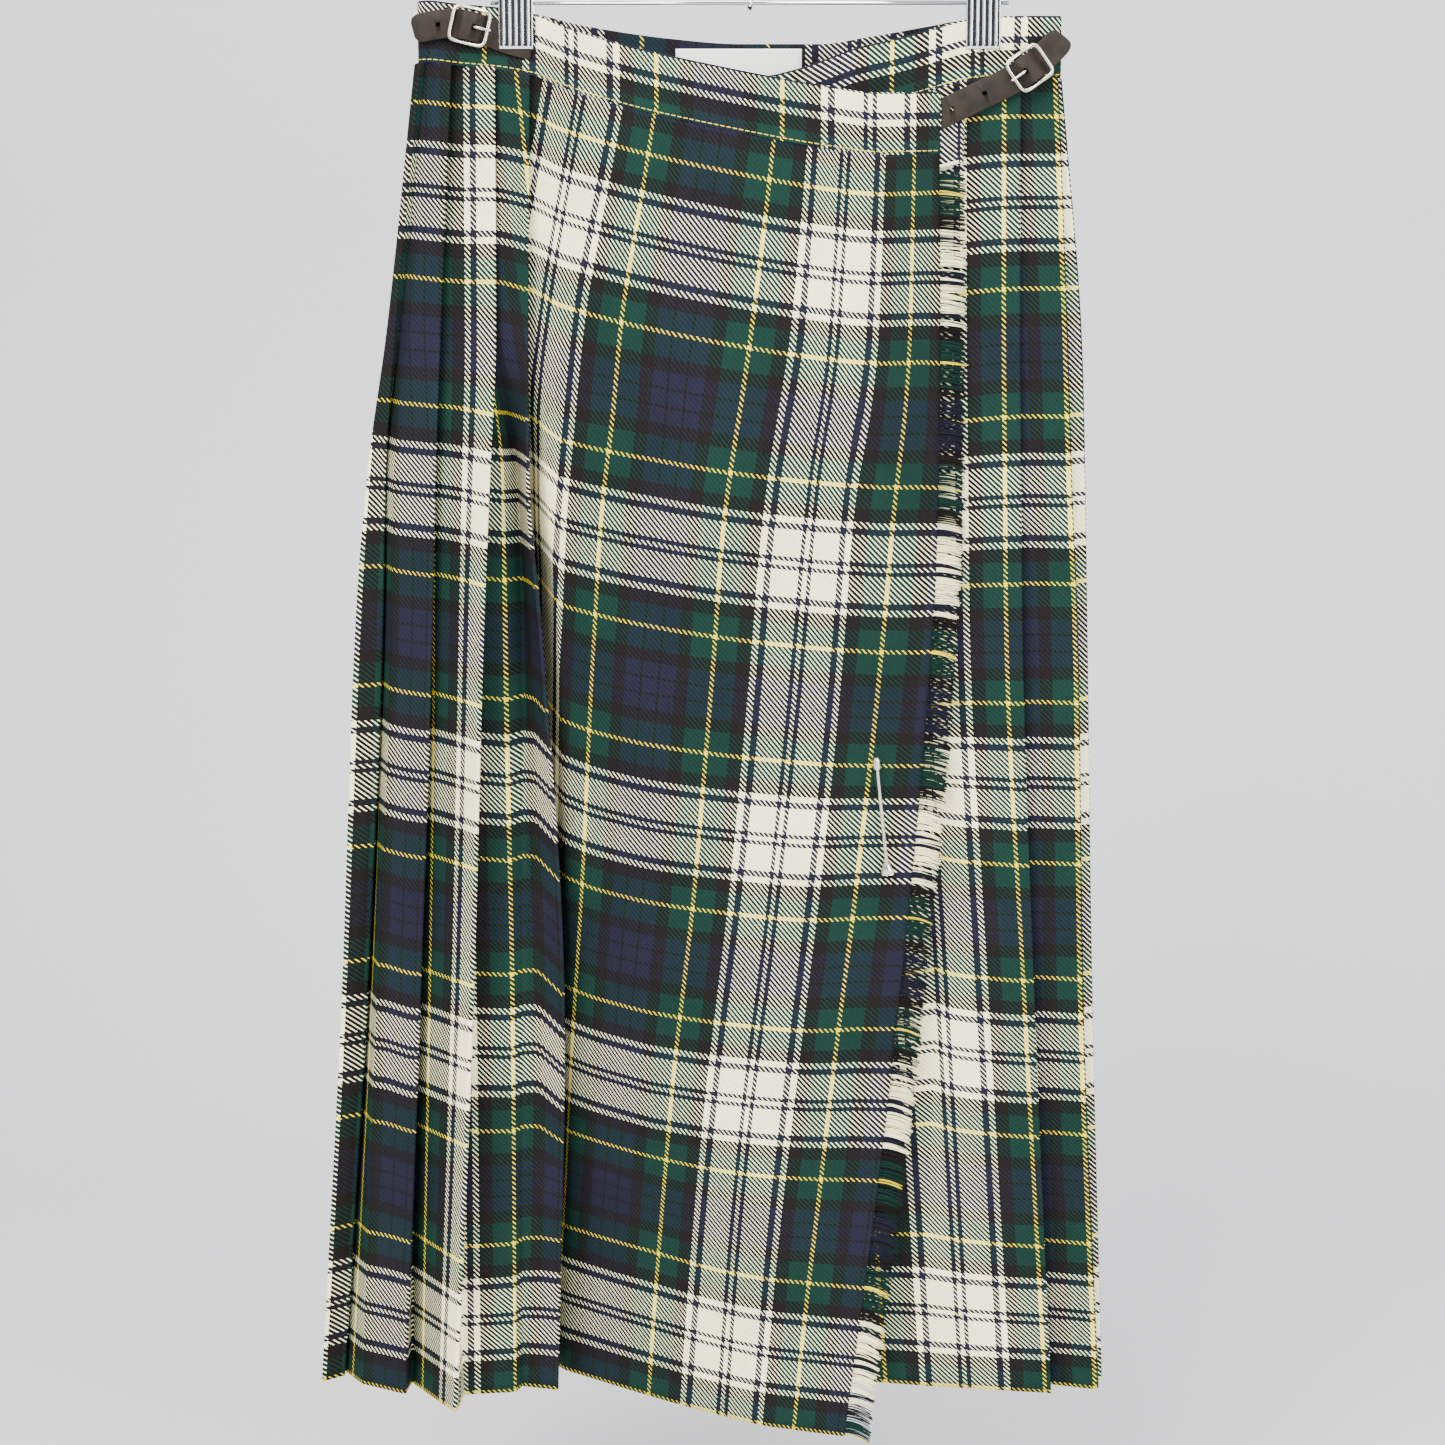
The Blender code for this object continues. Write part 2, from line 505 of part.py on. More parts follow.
def swept(name, centres, rings, finish, closed=False, smooth=True):
    """A body swept through rings of offsets (one array of points for each centre)."""
    count, sides = len(centres), len(rings[0])
    verts = np.vstack([centre + ring for centre, ring in zip(np.asarray(centres, float), rings)])
    faces = []
    for i in range(count if closed else count - 1):
        a, b = i * sides, ((i + 1) % count) * sides
        faces += [(a + j, a + (j + 1) % sides, b + (j + 1) % sides, b + j) for j in range(sides)]
    if not closed:
        faces += [tuple(range(sides)), tuple(range((count - 1) * sides, count * sides))]
    return add_object(name, verts, faces, finish, smooth)


def wire(name, centres, radius, sides, finish, closed=False):
    """Round wire along a path; radius is one number or one for each point."""
    centres = np.asarray(centres, float)
    radii = np.full(len(centres), radius, float)
    if closed:
        tangent = np.roll(centres, -1, 0) - np.roll(centres, 1, 0)
    else:
        tangent = np.gradient(centres, axis=0)
    tangent /= np.linalg.norm(tangent, axis=1)[:, None]
    first = np.eye(3)[np.argmin(np.abs(tangent[0]))]
    rings = []
    for way, size in zip(tangent, radii):
        first = first - way * np.dot(first, way)
        first /= np.linalg.norm(first)
        second = np.cross(way, first)
        turn = 2 * math.pi * (np.arange(sides) + 0.5) / sides
        rings.append(size * (np.outer(np.cos(turn), first) + np.outer(np.sin(turn), second)))
    return swept(name, centres, rings, finish, closed)


def box(name, low, high, finish):
    low, high = np.array(low, float), np.array(high, float)
    verts = [[(low, high)[(i >> k) & 1][k] for k in range(3)] for i in range(8)]
    faces = [(0, 2, 3, 1), (4, 5, 7, 6), (0, 1, 5, 4), (2, 6, 7, 3), (0, 4, 6, 2), (1, 3, 7, 5)]
    return add_object(name, verts, faces, finish)


def combine(target, tool, operation):
    """A live Boolean of a hidden tool on a body."""
    tool.hide_render = True
    tool.display_type = "WIRE"
    change = target.modifiers.new(operation.lower(), "BOOLEAN")
    change.operation = operation
    change.solver = "EXACT"
    change.object = tool


def strap_base(x, right):
    """Y of the wall that a strap lies on."""
    return float(np.interp(x, *(RIGHT_STRAP_BASE if right else LEFT_STRAP_BASE)))


def build_strap(name, table, right, holes, finish):
    """A strap: a flat strip along its table, pointed at the free end, with its punched holes."""
    rows = np.array(table, float)
    ways = np.gradient(rows[:, :2], axis=0)
    ways /= np.linalg.norm(ways, axis=1)[:, None]
    centres, rings = [], []
    last = len(rows) - 1
    for i, ((x, z, off), (wx, wz)) in enumerate(zip(rows, ways)):
        half = STRAP_WIDTH / 2 * (0.55 if i == last else 0.92 if i == last - 1 else 1)
        across = np.array([-wz, 0, wx]) * half
        if right and i == 0:
            across = np.array([0, 0, half / wx])
        depth = np.array([0, STRAP_WALL / 2, 0])
        centres.append((x, strap_base(x, right) - off, z))
        rings.append(np.array([across - depth, across + depth, -across + depth, -across - depth]))
    strap = swept(name, centres, rings, finish, smooth=False)
    middle = rows[6]
    way = ways[6]
    prong_hole = (middle[0] - way[0] * PRONG_HOLE_AT, middle[1] - way[1] * PRONG_HOLE_AT)
    for n, (x, z) in enumerate((prong_hole, *holes)):
        y = strap_base(x, right) - 6
        size = HOLE_RADIUS if n else PRONG_HOLE_RADIUS
        punch = wire(f"{name}_punch_{n + 1}", ((x, y - 8, z), (x, y + 12, z)), size, 8, finish)
        combine(strap, punch, "DIFFERENCE")
    return middle, way


def build_buckle(name, middle, way, right, metal):
    """A centre-bar buckle: the frame's outer bars lie over the strap and the middle bar under it."""
    along_way = np.array([way[0], 0, way[1]])
    across = np.array([-way[1], 0, way[0]])
    origin = np.array([middle[0], strap_base(middle[0], right), middle[1]])

    def place(u, w, off):
        return origin + along_way * u + across * w + np.array([0, -off, 0])

    ring = []
    for quarter in range(4):
        for share in (0.12, 0.5, 0.88):
            turn = math.pi / 2 * (quarter + share)
            u = math.copysign(abs(math.cos(turn))**BUCKLE_CORNER, math.cos(turn)) * BUCKLE_HALF_LENGTH
            w = math.copysign(abs(math.sin(turn))**BUCKLE_CORNER, math.sin(turn)) * BUCKLE_HALF_WIDTH
            ring.append((u, w))
        if quarter % 2 == 0:
            sign = 1 if quarter == 0 else -1
            ring.append((0.0, sign * BUCKLE_HALF_WIDTH))
    lift = [CENTRE_BAR_OFF + (OUTER_BAR_OFF - CENTRE_BAR_OFF) * min(1, abs(u) / 7)**0.8 for u, _ in ring]
    frame = wire(name, [place(u, w, off) for (u, w), off in zip(ring, lift)], BUCKLE_WIRE, 8, metal, True)
    bar = wire(f"{name}_centre_bar", [place(0, -BUCKLE_HALF_WIDTH, CENTRE_BAR_OFF),
                                      place(0, BUCKLE_HALF_WIDTH, CENTRE_BAR_OFF)],
               CENTRE_BAR_RADIUS, 8, metal)
    combine(frame, bar, "UNION")
    radii = [PRONG_RADIUS] * (len(PRONG) - 1) + [PRONG_TIP_RADIUS]
    wire(f"{name}_prong", [place(u, 0, off) for u, off in PRONG], radii, 8, metal)


def build_keeper(name, middle, way, right, finish):
    """The leather tab sewn to the band, which carries the buckle's middle bar."""
    along_way = np.array([way[0], 0, way[1]])
    across = np.array([-way[1], 0, way[0]]) * (STRAP_WIDTH - 2) / 2
    depth = np.array([0, KEEPER_WALL / 2, 0])
    centres, rings = [], []
    for u in np.linspace(*KEEPER_SPAN, 4):
        spot = np.array([middle[0], 0, middle[1]]) + along_way * u
        spot[1] = strap_base(spot[0], right) - SEAM_GAP - KEEPER_WALL / 2
        centres.append(spot)
        rings.append(np.array([across - depth, across + depth, -across + depth, -across - depth]))
    swept(name, centres, rings, finish, smooth=False)


def apron_surface(x, z):
    """Y of the middle of the over apron's wall near x and z."""
    top, foot = WAISTBAND[FRONT_END][3], APRON_HEM[-1][1]
    v = (z - top) / (foot - top)
    path = whole_wall(v)[-OVER_POINTS:]
    return float(np.interp(x, path[:, 0], path[:, 1]))


def build_pin(metal, apron):
    """The kilt pin: bar in front, needle behind the cloth, coil at the foot and clasp at the top."""
    top = np.array([PIN_TOP[0], apron_surface(*PIN_TOP), PIN_TOP[1]])
    foot = np.array([PIN_FOOT[0], apron_surface(*PIN_FOOT), PIN_FOOT[1]])
    down = (foot - top) / np.linalg.norm(foot - top)
    out = np.array([0.0, -1.0, 0.0])
    length = np.linalg.norm(foot - top)
    spots = [top + down * length * share + out * off for share, off in PIN_ROUTE]
    pin = wire("kilt_pin", spots, PIN_WIRE, 8, metal)
    across = np.cross(down, out)
    turn = 2 * math.pi * np.arange(10) / 10
    for name, shares, wide, deep in PIN_CAPS:
        rings = [np.outer(np.cos(turn), across) * w + np.outer(np.sin(turn), out) * d
                 for w, d in zip(wide, deep)]
        centres = [top + down * length * share + out * PIN_CAP_OFF for share in shares]
        combine(pin, swept(f"kilt_pin_{name}", centres, rings, metal), "UNION")
    for n, share in enumerate(PIN_HOLES):
        spot = top + down * length * share
        hole = wire(f"pin_hole_{n + 1}", (spot + out * 4, spot - out * 4), PIN_HOLE_RADIUS, 8, metal)
        combine(apron, hole, "DIFFERENCE")


def build_label(finish):
    """The blank woven label, on the front of the back of the band."""
    verts, columns = [], np.linspace(*LABEL, 5)
    rows = np.linspace(LABEL_TOP, LABEL_FOOT, 4)
    for off in (SEAM_GAP, SEAM_GAP + LABEL_WALL):
        for z in rows:
            for x in columns:
                verts.append((x, band_face(x, z, RIGHT_SIDE, LEFT_SIDE, -1) - off, z))
    add_object("label", verts, wall_faces(len(rows), len(columns)), finish)


def ribbed_jaw(name, x, face, finish):
    """A clip's front jaw: a plate with five upright ribs that end above a plain lip."""
    ribs, pitch = 5, (CLIP_WIDTH - 1.5) / 5
    verts = []
    for z, rise in ((CLIP_TOP, 0.9), (CLIP_FOOT + 3.2, 0.9), (CLIP_FOOT + 2.4, 0.05), (CLIP_FOOT, 0.05)):
        row = [(x - CLIP_WIDTH / 2, -face, z), (x - CLIP_WIDTH / 2, -face - 1.1, z)]
        for n in range(ribs):
            left = x - CLIP_WIDTH / 2 + 0.75 + pitch * n
            for share, off in ((0.12, 0), (0.32, rise), (0.68, rise), (0.88, 0)):
                row.append((left + pitch * share, -face - 1.1 - off, z))
        row += [(x + CLIP_WIDTH / 2, -face - 1.1, z), (x + CLIP_WIDTH / 2, -face, z)]
        verts += row
    sides = len(verts) // 4
    faces = [(a + j, a + (j + 1) % sides, a + sides + (j + 1) % sides, a + sides + j)
             for a in (0, sides, 2 * sides) for j in range(sides)]
    faces += [tuple(range(sides)), tuple(range(3 * sides, 4 * sides))]
    add_object(name, verts, faces, finish)


def build_clip(side, x, face, metal, dark):
    """One trouser clip: ribbed front jaw, back jaw with ears that ride on the bar, and the spring."""
    ribbed_jaw(f"clip_{side}_front_jaw", x, face, metal)
    half = CLIP_WIDTH / 2
    back = box(f"clip_{side}_back_jaw", (x - half, face, CLIP_FOOT), (x + half, face + 1.1, CLIP_TOP), metal)
    for n, edge in enumerate((x - half + 0.1, x + half - 0.9)):
        ear = box(f"clip_{side}_ear_{n + 1}", (edge, -face + SEAM_GAP, EAR_FOOT),
                  (edge + 0.8, face + 0.5, CLIP_TOP - 2), metal)
        combine(back, ear, "UNION")
    bore = wire(f"clip_{side}_bore", ((x - 12, 0, BAR_HEIGHT), (x + 12, 0, BAR_HEIGHT)),
                BAR_RADIUS + 0.3, 12, metal)
    combine(back, bore, "DIFFERENCE")
    radius = face - SEAM_GAP - 0.1
    wire(f"clip_{side}_spring", ((x - half + 1.3, 0, SPRING_HEIGHT), (x + half - 1.3, 0, SPRING_HEIGHT)),
         radius, 12, dark)


def build_hanger(metal):
    """The bar, and the hook whose shank ends in an eye closed round the bar."""
    wire("hanger_bar", ((-BAR_HALF_LENGTH, 0, BAR_HEIGHT), (BAR_HALF_LENGTH, 0, BAR_HEIGHT)),
         BAR_RADIUS, 12, metal)
    centre_z = -HOOK_RADIUS
    reach = HOOK_RADIUS + HOOK_WIRE
    route = []
    for turn in np.radians(np.linspace(200, -70, 15)):
        route.append((reach * math.cos(turn), 0, centre_z + reach * math.sin(turn)))
    route += [(2.0, 0, centre_z - reach - 6), (0, 0, centre_z - reach - 14), (0, 0, BAR_HEIGHT + 12)]
    eye = BAR_RADIUS + SEAM_GAP + HOOK_WIRE
    for turn in np.radians(np.linspace(70, -250, 13)):
        route.append((0, -eye * math.cos(turn), BAR_HEIGHT + eye * math.sin(turn)))
    wire("hanger_hook", route, HOOK_WIRE, 8, metal)


def main():
    for old in list(bpy.data.objects):
        bpy.data.objects.remove(old, do_unlink=True)
    wool = material("wool_twill", (0.05, 0.11, 0.09), 0.9)
    build_cloth(wool)
    build_band(material("waistband_twill", (0.05, 0.11, 0.09), 0.9))
    build_tab(material("tab_twill", (0.05, 0.11, 0.09), 0.9))
    build_fringe(material("wool_fringe", (0.75, 0.68, 0.5), 0.95))
    leather = material("bridle_leather", (0.045, 0.036, 0.03), 0.55)
    nickel = material("nickel_plate", (0.78, 0.76, 0.72), 0.2, 1.0)
    steel = material("chromed_steel", (0.8, 0.8, 0.8), 0.15, 1.0)
    dark = material("spring_steel", (0.2, 0.2, 0.2), 0.4, 1.0)
    for side, table, right, holes in (("right", RIGHT_STRAP, True, RIGHT_HOLES),
                                      ("left", LEFT_STRAP, False, LEFT_HOLES)):
        middle, way = build_strap(f"strap_{side}", table, right, holes, leather)
        build_buckle(f"buckle_{side}", middle, way, right, nickel)
        build_keeper(f"keeper_{side}", middle, way, right, leather)
    build_pin(nickel, bpy.data.objects["over_apron"])
    build_label(material("label_tape", (0.85, 0.83, 0.78), 0.8))
    build_clip("left", -CLIP_X, LEFT_JAW, steel, dark)
    build_clip("right", CLIP_X, RIGHT_JAW, steel, dark)
    build_hanger(steel)


main()
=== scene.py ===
# %% [markdown]
# # A long kilt skirt in a dress tartan, on a clip hanger
#
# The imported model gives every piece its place.  This script dresses it: the cloth as thin, smooth walls
# with a woven tartan, the waistband with its stitching, loose fringe yarns, leather straps, nickel
# buckles, a kilt pin and a steel hanger.  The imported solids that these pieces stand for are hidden.

# %% Load the frame
import math

import bmesh
import bpy
import numpy as np
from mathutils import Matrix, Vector


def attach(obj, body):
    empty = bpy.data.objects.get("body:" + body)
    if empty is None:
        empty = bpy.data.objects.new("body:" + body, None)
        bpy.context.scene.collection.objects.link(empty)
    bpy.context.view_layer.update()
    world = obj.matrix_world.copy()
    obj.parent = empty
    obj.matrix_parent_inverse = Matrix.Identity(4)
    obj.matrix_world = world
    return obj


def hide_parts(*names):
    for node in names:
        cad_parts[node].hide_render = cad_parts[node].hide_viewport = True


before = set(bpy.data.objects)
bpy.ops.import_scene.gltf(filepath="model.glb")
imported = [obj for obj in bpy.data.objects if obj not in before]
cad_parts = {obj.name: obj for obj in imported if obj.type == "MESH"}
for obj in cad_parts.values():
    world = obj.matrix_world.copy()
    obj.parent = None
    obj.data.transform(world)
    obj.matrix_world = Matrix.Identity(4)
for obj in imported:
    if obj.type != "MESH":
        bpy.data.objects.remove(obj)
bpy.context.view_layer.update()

# %% [markdown]
# ## Camera, floor and light
#
# The photograph looks down a little on the hanging skirt from less than two metres away.  A steady way
# to match it is a plain lens with no shift, set from the angle that the picture takes in.  The light is
# soft: a large lamp at the front left, a weaker one at the front right, one overhead, a faint one behind,
# and a bright room all round.

# %% Camera
MM = 0.001
PICTURE = 1445                                # pixels across and down
FOCAL_PIXELS = 3152                           # focal length in the same pixels
CAMERA_AT = (-0.015, -1.77, -0.168)
LOOKS_DOWN = 10.5                             # degrees
SENSOR = 36.0                                 # mm


def add_object(name, data):
    """A new object in the scene that holds a mesh, a lamp or a camera."""
    made = bpy.data.objects.new(name, data)
    bpy.context.collection.objects.link(made)
    return made


camera_data = bpy.data.cameras.new("camera")
camera_data.sensor_width = SENSOR
camera_data.lens = FOCAL_PIXELS / PICTURE * SENSOR
camera = add_object("camera", camera_data)
camera.location = CAMERA_AT
camera.rotation_euler = (math.radians(90 - LOOKS_DOWN), 0, 0)
bpy.context.scene.camera = camera
print("lens", round(camera_data.lens, 2), "mm")


# %% Helpers for materials
def linear(hex_colour):
    """An sRGB hex value as linear light: each channel c becomes ((c + 0.055) / 1.055) to the power 2.4."""
    channels = [int(hex_colour[i:i + 2], 16) / 255 for i in (1, 3, 5)]
    return tuple(c / 12.92 if c <= 0.04045 else ((c + 0.055) / 1.055)**2.4 for c in channels) + (1.0,)


def new_material(name, colour=None, rough=None):
    """A material with its Principled shader, as (material, node tree, shader)."""
    material = bpy.data.materials.new(name)
    material.use_nodes = True
    shader = material.node_tree.nodes["Principled BSDF"]
    if colour:
        shader.inputs["Base Color"].default_value = linear(colour)
    if rough:
        shader.inputs["Roughness"].default_value = rough
    return material, material.node_tree, shader


def add_node(tree, kind, settings=(), inputs=(), **links):
    """Adds one node: `settings` are its properties, `inputs` values by socket, `links` sockets by name."""
    node = tree.nodes.new(kind)
    for key, value in dict(settings).items():
        setattr(node, key, value)
    for key, value in dict(inputs).items():
        node.inputs[key].default_value = value
    for key, source in links.items():
        socket = int(key[1:]) if key[0] == "i" and key[1:].isdigit() else key.replace("_", " ")
        tree.links.new(source, node.inputs[socket])
    return node


def feed(tree, socket, value):
    """Gives a socket its value: a number, or the output of another node."""
    if isinstance(value, (int, float)):
        socket.default_value = value
    else:
        tree.links.new(value, socket)


def calc(tree, operation, *values):
    """The result of one Math node."""
    node = add_node(tree, "ShaderNodeMath", {"operation": operation})
    for socket, value in zip(node.inputs, values):
        feed(tree, socket, value)
    return node.outputs[0]


def mix_colours(tree, kind, share, first, second):
    """The result of one Mix node on two colours."""
    node = add_node(tree, "ShaderNodeMix", {"data_type": "RGBA", "blend_type": kind}, i6=first, i7=second)
    feed(tree, node.inputs[0], share)
    return node.outputs[2]


def surface_texture(tree, kind, settings=(), **inputs):
    """A texture in the object's own coordinates, so that its scale is a number for each metre."""
    place = add_node(tree, "ShaderNodeTexCoord")
    return add_node(tree, kind, settings, inputs, Vector=place.outputs["Object"])


def add_bump(tree, shader, height, strength, distance):
    """Fine relief of up to `distance` metres from a texture's value."""
    bump = add_node(tree, "ShaderNodeBump", inputs={"Strength": strength, "Distance": distance},
                    Height=height)
    tree.links.new(bump.outputs[0], shader.inputs["Normal"])


# %% Floor, backdrop and lamps
def make_backdrop(front, back, floor, top, radius, half_width):
    """A studio sweep: a flat floor that turns up into a wall through a quarter circle."""
    turn = np.linspace(0, math.pi / 2, 16)
    y = np.concatenate([[front], back - radius + radius * np.sin(turn), [back]])
    z = np.concatenate([[floor], floor + radius - radius * np.cos(turn), [top]])
    verts = [(x, py, pz) for x in (-half_width, half_width) for py, pz in zip(y, z)]
    count = len(y)
    faces = [(i, i + 1, count + i + 1, count + i) for i in range(count - 1)]
    mesh = bpy.data.meshes.new("backdrop")
    mesh.from_pydata(verts, [], faces)
    mesh.shade_smooth()
    return add_object("backdrop", mesh)


backdrop = make_backdrop(front=-6, back=1.6, floor=-1.05, top=3.5, radius=0.8, half_width=5)
backdrop.data.materials.append(new_material("backdrop_paper", "#C6C6C9", 0.95)[0])

# The dark side of the studio, behind the camera, which the chrome mirrors
DARK_WALL_HALF_WIDTH, DARK_WALL_Y, DARK_WALL_FOOT, DARK_WALL_TOP = 1.6, -3.3, -1.4, 0.7
dark_corners = [(x, DARK_WALL_Y, z) for x, z in ((-DARK_WALL_HALF_WIDTH, DARK_WALL_FOOT),
                                                 (DARK_WALL_HALF_WIDTH, DARK_WALL_FOOT),
                                                 (DARK_WALL_HALF_WIDTH, DARK_WALL_TOP),
                                                 (-DARK_WALL_HALF_WIDTH, DARK_WALL_TOP))]
dark_mesh = bpy.data.meshes.new("studio_dark_wall")
dark_mesh.from_pydata(dark_corners, [], [(3, 2, 1, 0)])
dark_mesh.materials.append(new_material("black_felt", "#1A1A1B", 0.95)[0])
dark_wall = add_object("studio_dark_wall", dark_mesh)

# name, place, point that it faces, side of the square (m), power (W)
LAMPS = (("key", (-1.2, -2.4, 1.3), (0, 0, -0.5), 1.8, 208),
         ("fill", (1.9, -2.2, 0.2), (0, 0, -0.5), 2.0, 126),
         ("top", (0, -0.3, 2.0), (0, 0, -0.5), 1.8, 60),
         ("rear", (0.6, 1.2, 1.2), (0, 0, -0.4), 1.0, 22))
for name, place, aim, size, power in LAMPS:
    lamp_data = bpy.data.lights.new(name, "AREA")
    lamp_data.size = size
    lamp_data.energy = power
    lamp = add_object(name, lamp_data)
    lamp.location = place
    lamp.rotation_euler = (Vector(aim) - Vector(place)).to_track_quat("-Z", "Y").to_euler()

world = bpy.data.worlds.new("studio")
world.use_nodes = True
sky = world.node_tree.nodes["Background"]
sky.inputs["Color"].default_value = linear("#E4E6EA")
sky.inputs["Strength"].default_value = 1.16
bpy.context.scene.world = world

# %% [markdown]
# ## The cloth's folds in plan
#
# A kilt is one strip of cloth: under apron, knife pleats, over apron.  Seen from above it is one long
# folded line, and each fold wanders as it falls from the waistband to the hem.  A table with a row for
# each fold says where that fold stands at six heights; the back's pleats are even, so their rows are
# worked out from a rounded outline.  Simulating the drape would lose the pressed edges, so the line is
# built by rule and then loosened.

# %% Fold tables
WALL = 0.8                                    # mm, thickness of the twill
BACK_PLEATS = 16
UNDER_POINTS, OVER_POINTS = 44, 72            # grid points across the flat of each apron
SECTIONS = (0.0, 0.187, 0.295, 0.40, 0.69, 1.0)      # shares of the way down, for every table below
FOLD_WIDTH = (1.1, 1.2, 1.6, 1.9, 2.2, 2.4)          # across a fold's rounded edge
TOP_GAP = 0.8                                 # mm, from the band's foot down to the cloth's seam line

# name, kind, X at the six heights, Y at the six heights (mm)
UNDER_APRON = (
    ("free_edge", "soft", (-134, -124, -102, -94, -88, -84), (0.4, 5, 14, 20, 30, 44)),
    ("left", "soft", (-50, -50, -46, -42, -40, -40), (-7, -6, 0, 6, 20, 32)),
    ("middle", "soft", (25, 25, 25, 25, 25, 25), (-20, -22, -16, -10, 4, 14)),
    ("right", "soft", (82, 82, 80, 76, 66, 50), (-9, -10, -8, -6, -3, 4)),
    ("behind_fringe", "soft", (114, 114, 114, 112, 108, 104), (-6, -7, -7, -7, -6, -4)),
    ("edge_a", "ridge", (148, 150, 152, 154, 165, 179), (-8, -10, -10, -10, -9, -8)),
)
RIGHT_PLEATS = (
    ("under_a", "valley", (131, 136, 141, 146, 160, 178), (-2.2, -4, -2, 0, 4, 8)),
    ("edge_b", "ridge", (169, 177, 181, 186, 194, 208), (-5, -6, -6, -5, -3, 0)),
    ("under_b", "valley", (158, 166, 172, 178, 188, 204), (1, 1, 3, 5, 9, 14)),
)
LEFT_PLEATS = (
    ("side", "soft", (-183.8, -202, -215, -223, -236.5, -254), (-2.5, 0, 0, 0.5, 5, 9)),
    ("edge_1", "ridge", (-181, -198, -205.3, -208.5, -222.7, -242), (-6, -1, 2.5, 5.5, 13, 18.5)),
    ("under_1", "valley", (-178.5, -195.5, -206.5, -209.5, -223, -242.5), (-1.5, 4.5, 9, 12.5, 21, 25)),
    ("knee_1", "soft", (-172, -189, -199.5, -202, -215.5, -229.5), (-5, -2.5, -2.5, -1.5, 0.5, 6)),
    ("edge_2", "ridge", (-164, -172, -176, -179, -190, -203), (-8, -9, -12, -12, -11, -9)),
    ("under_2", "valley", (-170, -184, -187, -187, -196, -200), (1, 3, 4, 4, 7, 7)),
    ("edge_3", "ridge", (-140, -141, -145, -149, -158, -171), (-8.5, -12, -22, -27, -32, -35)),
    ("under_3", "valley", (-160, -161, -165, -168, -175, -168), (1, -1, -4, -5, -7, -10)),
    ("yellow_line", "soft", (-144, -145, -139, -139, -137, -138), (-3, -5.5, 2, -1, -6, -6)),
    ("crease", "soft", (-139, -140, -131, -129, -131, -134), (-4.2, -6.5, 12, 11, 0, 3)),
    ("edge_4", "ridge", (-121, -123, -124, -118, -107, -113), (-9, -13, -8, -8, -6, -2)),
    ("under_4", "valley", (-137, -138, -129, -122, -124, -138), (-2.2, 1.5, 24, 26, 36, 60)),
)
OVER_APRON = (
    ("roll", "soft", (-114, -115, -113, -109, -104, -110), (-3.5, -6, 0, 4, 14, 30)),
    ("left", "soft", (-60, -60, -59, -56, -57, -68), (-16, -22, -20, -18, -4, 12)),
    ("middle", "soft", (-5, -5, -4, -4, -10, -26), (-30, -36, -34, -30, -18, -4)),
    ("right", "soft", (50, 50, 50, 49, 36, 16), (-34, -42, -38, -34, -26, -16)),
    ("fringe_edge", "soft", (104, 106, 105, 101, 83, 57), (-12.5, -13.5, -16, -20, -22, -18)),
)

# The outline of the sides and back, and the size of its pleats, at the six heights
RIGHT_END_X = (171.7, 186, 190, 193, 201, 212)
LEFT_END_X = (-184, -201, -213.5, -221.5, -235, -252.5)
END_Y = (3, 5, 8, 10, 13, 16)
BACK_Y = (26, 46, 58, 68, 88, 104)
SQUARENESS = (2.2, 2.4, 2.5, 2.6, 2.6, 2.6)
PLEAT_RISE = (5.4, 6.0, 8, 10, 14, 17)
PLEAT_LAP = (12, 13, 11, 7, 1, -4)
SIDE_DEPTH = (14, 22, 30, 38, 45, 45)
OPEN_AT_SIDE = 3.0
CLIP_X = 128.0                                # of the two clips' middles, which pinch the sides together
CLIP_PINCH, PINCH_WIDTH, PINCH_REACH = 11.0, 20.0, 0.12

# The waistband: X, Y at its foot, Y at its top, and Z of its foot, once round and lapping in front
WAISTBAND = (
    (-141, 0.6, 1.15, -131.8), (-115.5, 0.3, 1.15, -135.6), (-98, -0.5, 0.5, -143), (-60, -5, -3.5, -160),
    (-22, -12, -10, -167), (6, -16.5, -14, -168), (25, -20, -17, -164.5), (60, -17, -14, -152.5),
    (82, -10.5, -9, -147.5), (110, -6, -3, -139.5), (116.5, -5, -1.15, -137.8),
    (139.5, -5, -1.15, -135.6), (152, -4, -1.5, -135.5),
    (164, -2, -0.5, -135.5), (170.5, 3, 3, -135.4), (165, 9, 7, -135.3), (151, 11.5, 8, -135.3),
    (139.5, 7.5, 1.15, -135.6), (116.5, 8, 1.15, -137.8), (100, 15.5, 12, -140.5), (66, 21.5, 19, -146.2),
    (38, 23, 20.5, -150), (-5, 23.3, 20.5, -150), (-45, 22.5, 20, -147), (-79, 20, 18, -142.4),
    (-100, 16, 13.5, -138.5), (-116.5, 9, 3.45, -134.6), (-139.5, 8.5, 3.45, -131.6), (-155, 11, 8, -130.5),
    (-171, 10, 7.5, -129), (-181.5, 3, 2.5, -127.5), (-175, -4.5, -1.8, -127.3), (-160, -5, -2, -129),
    (-139.5, -5, -1.15, -130.8), (-116.5, -5, -1.15, -135), (-103, -6.5, -4, -140.5), (-65, -15, -12, -152),
    (-16, -28, -24, -163), (36, -35, -31, -172.7), (70, -28, -25, -177), (104, -12.3, -11, -176.5),
)
HIDDEN_END, RIGHT_SIDE, LEFT_SIDE, FRONT_END = 0, 14, 30, 40      # numbers of four of those rows
BAND_HEIGHT = 33.5
BAND_WALL = 2.0

# The hems, as pairs of X and Z
APRON_HEM = ((-110, -899), (-26, -911), (57, -921))
UNDER_HEM = ((-84, -894), (50, -894), (179, -898))
PLEAT_HEM = ((-254, -898), (212, -899))


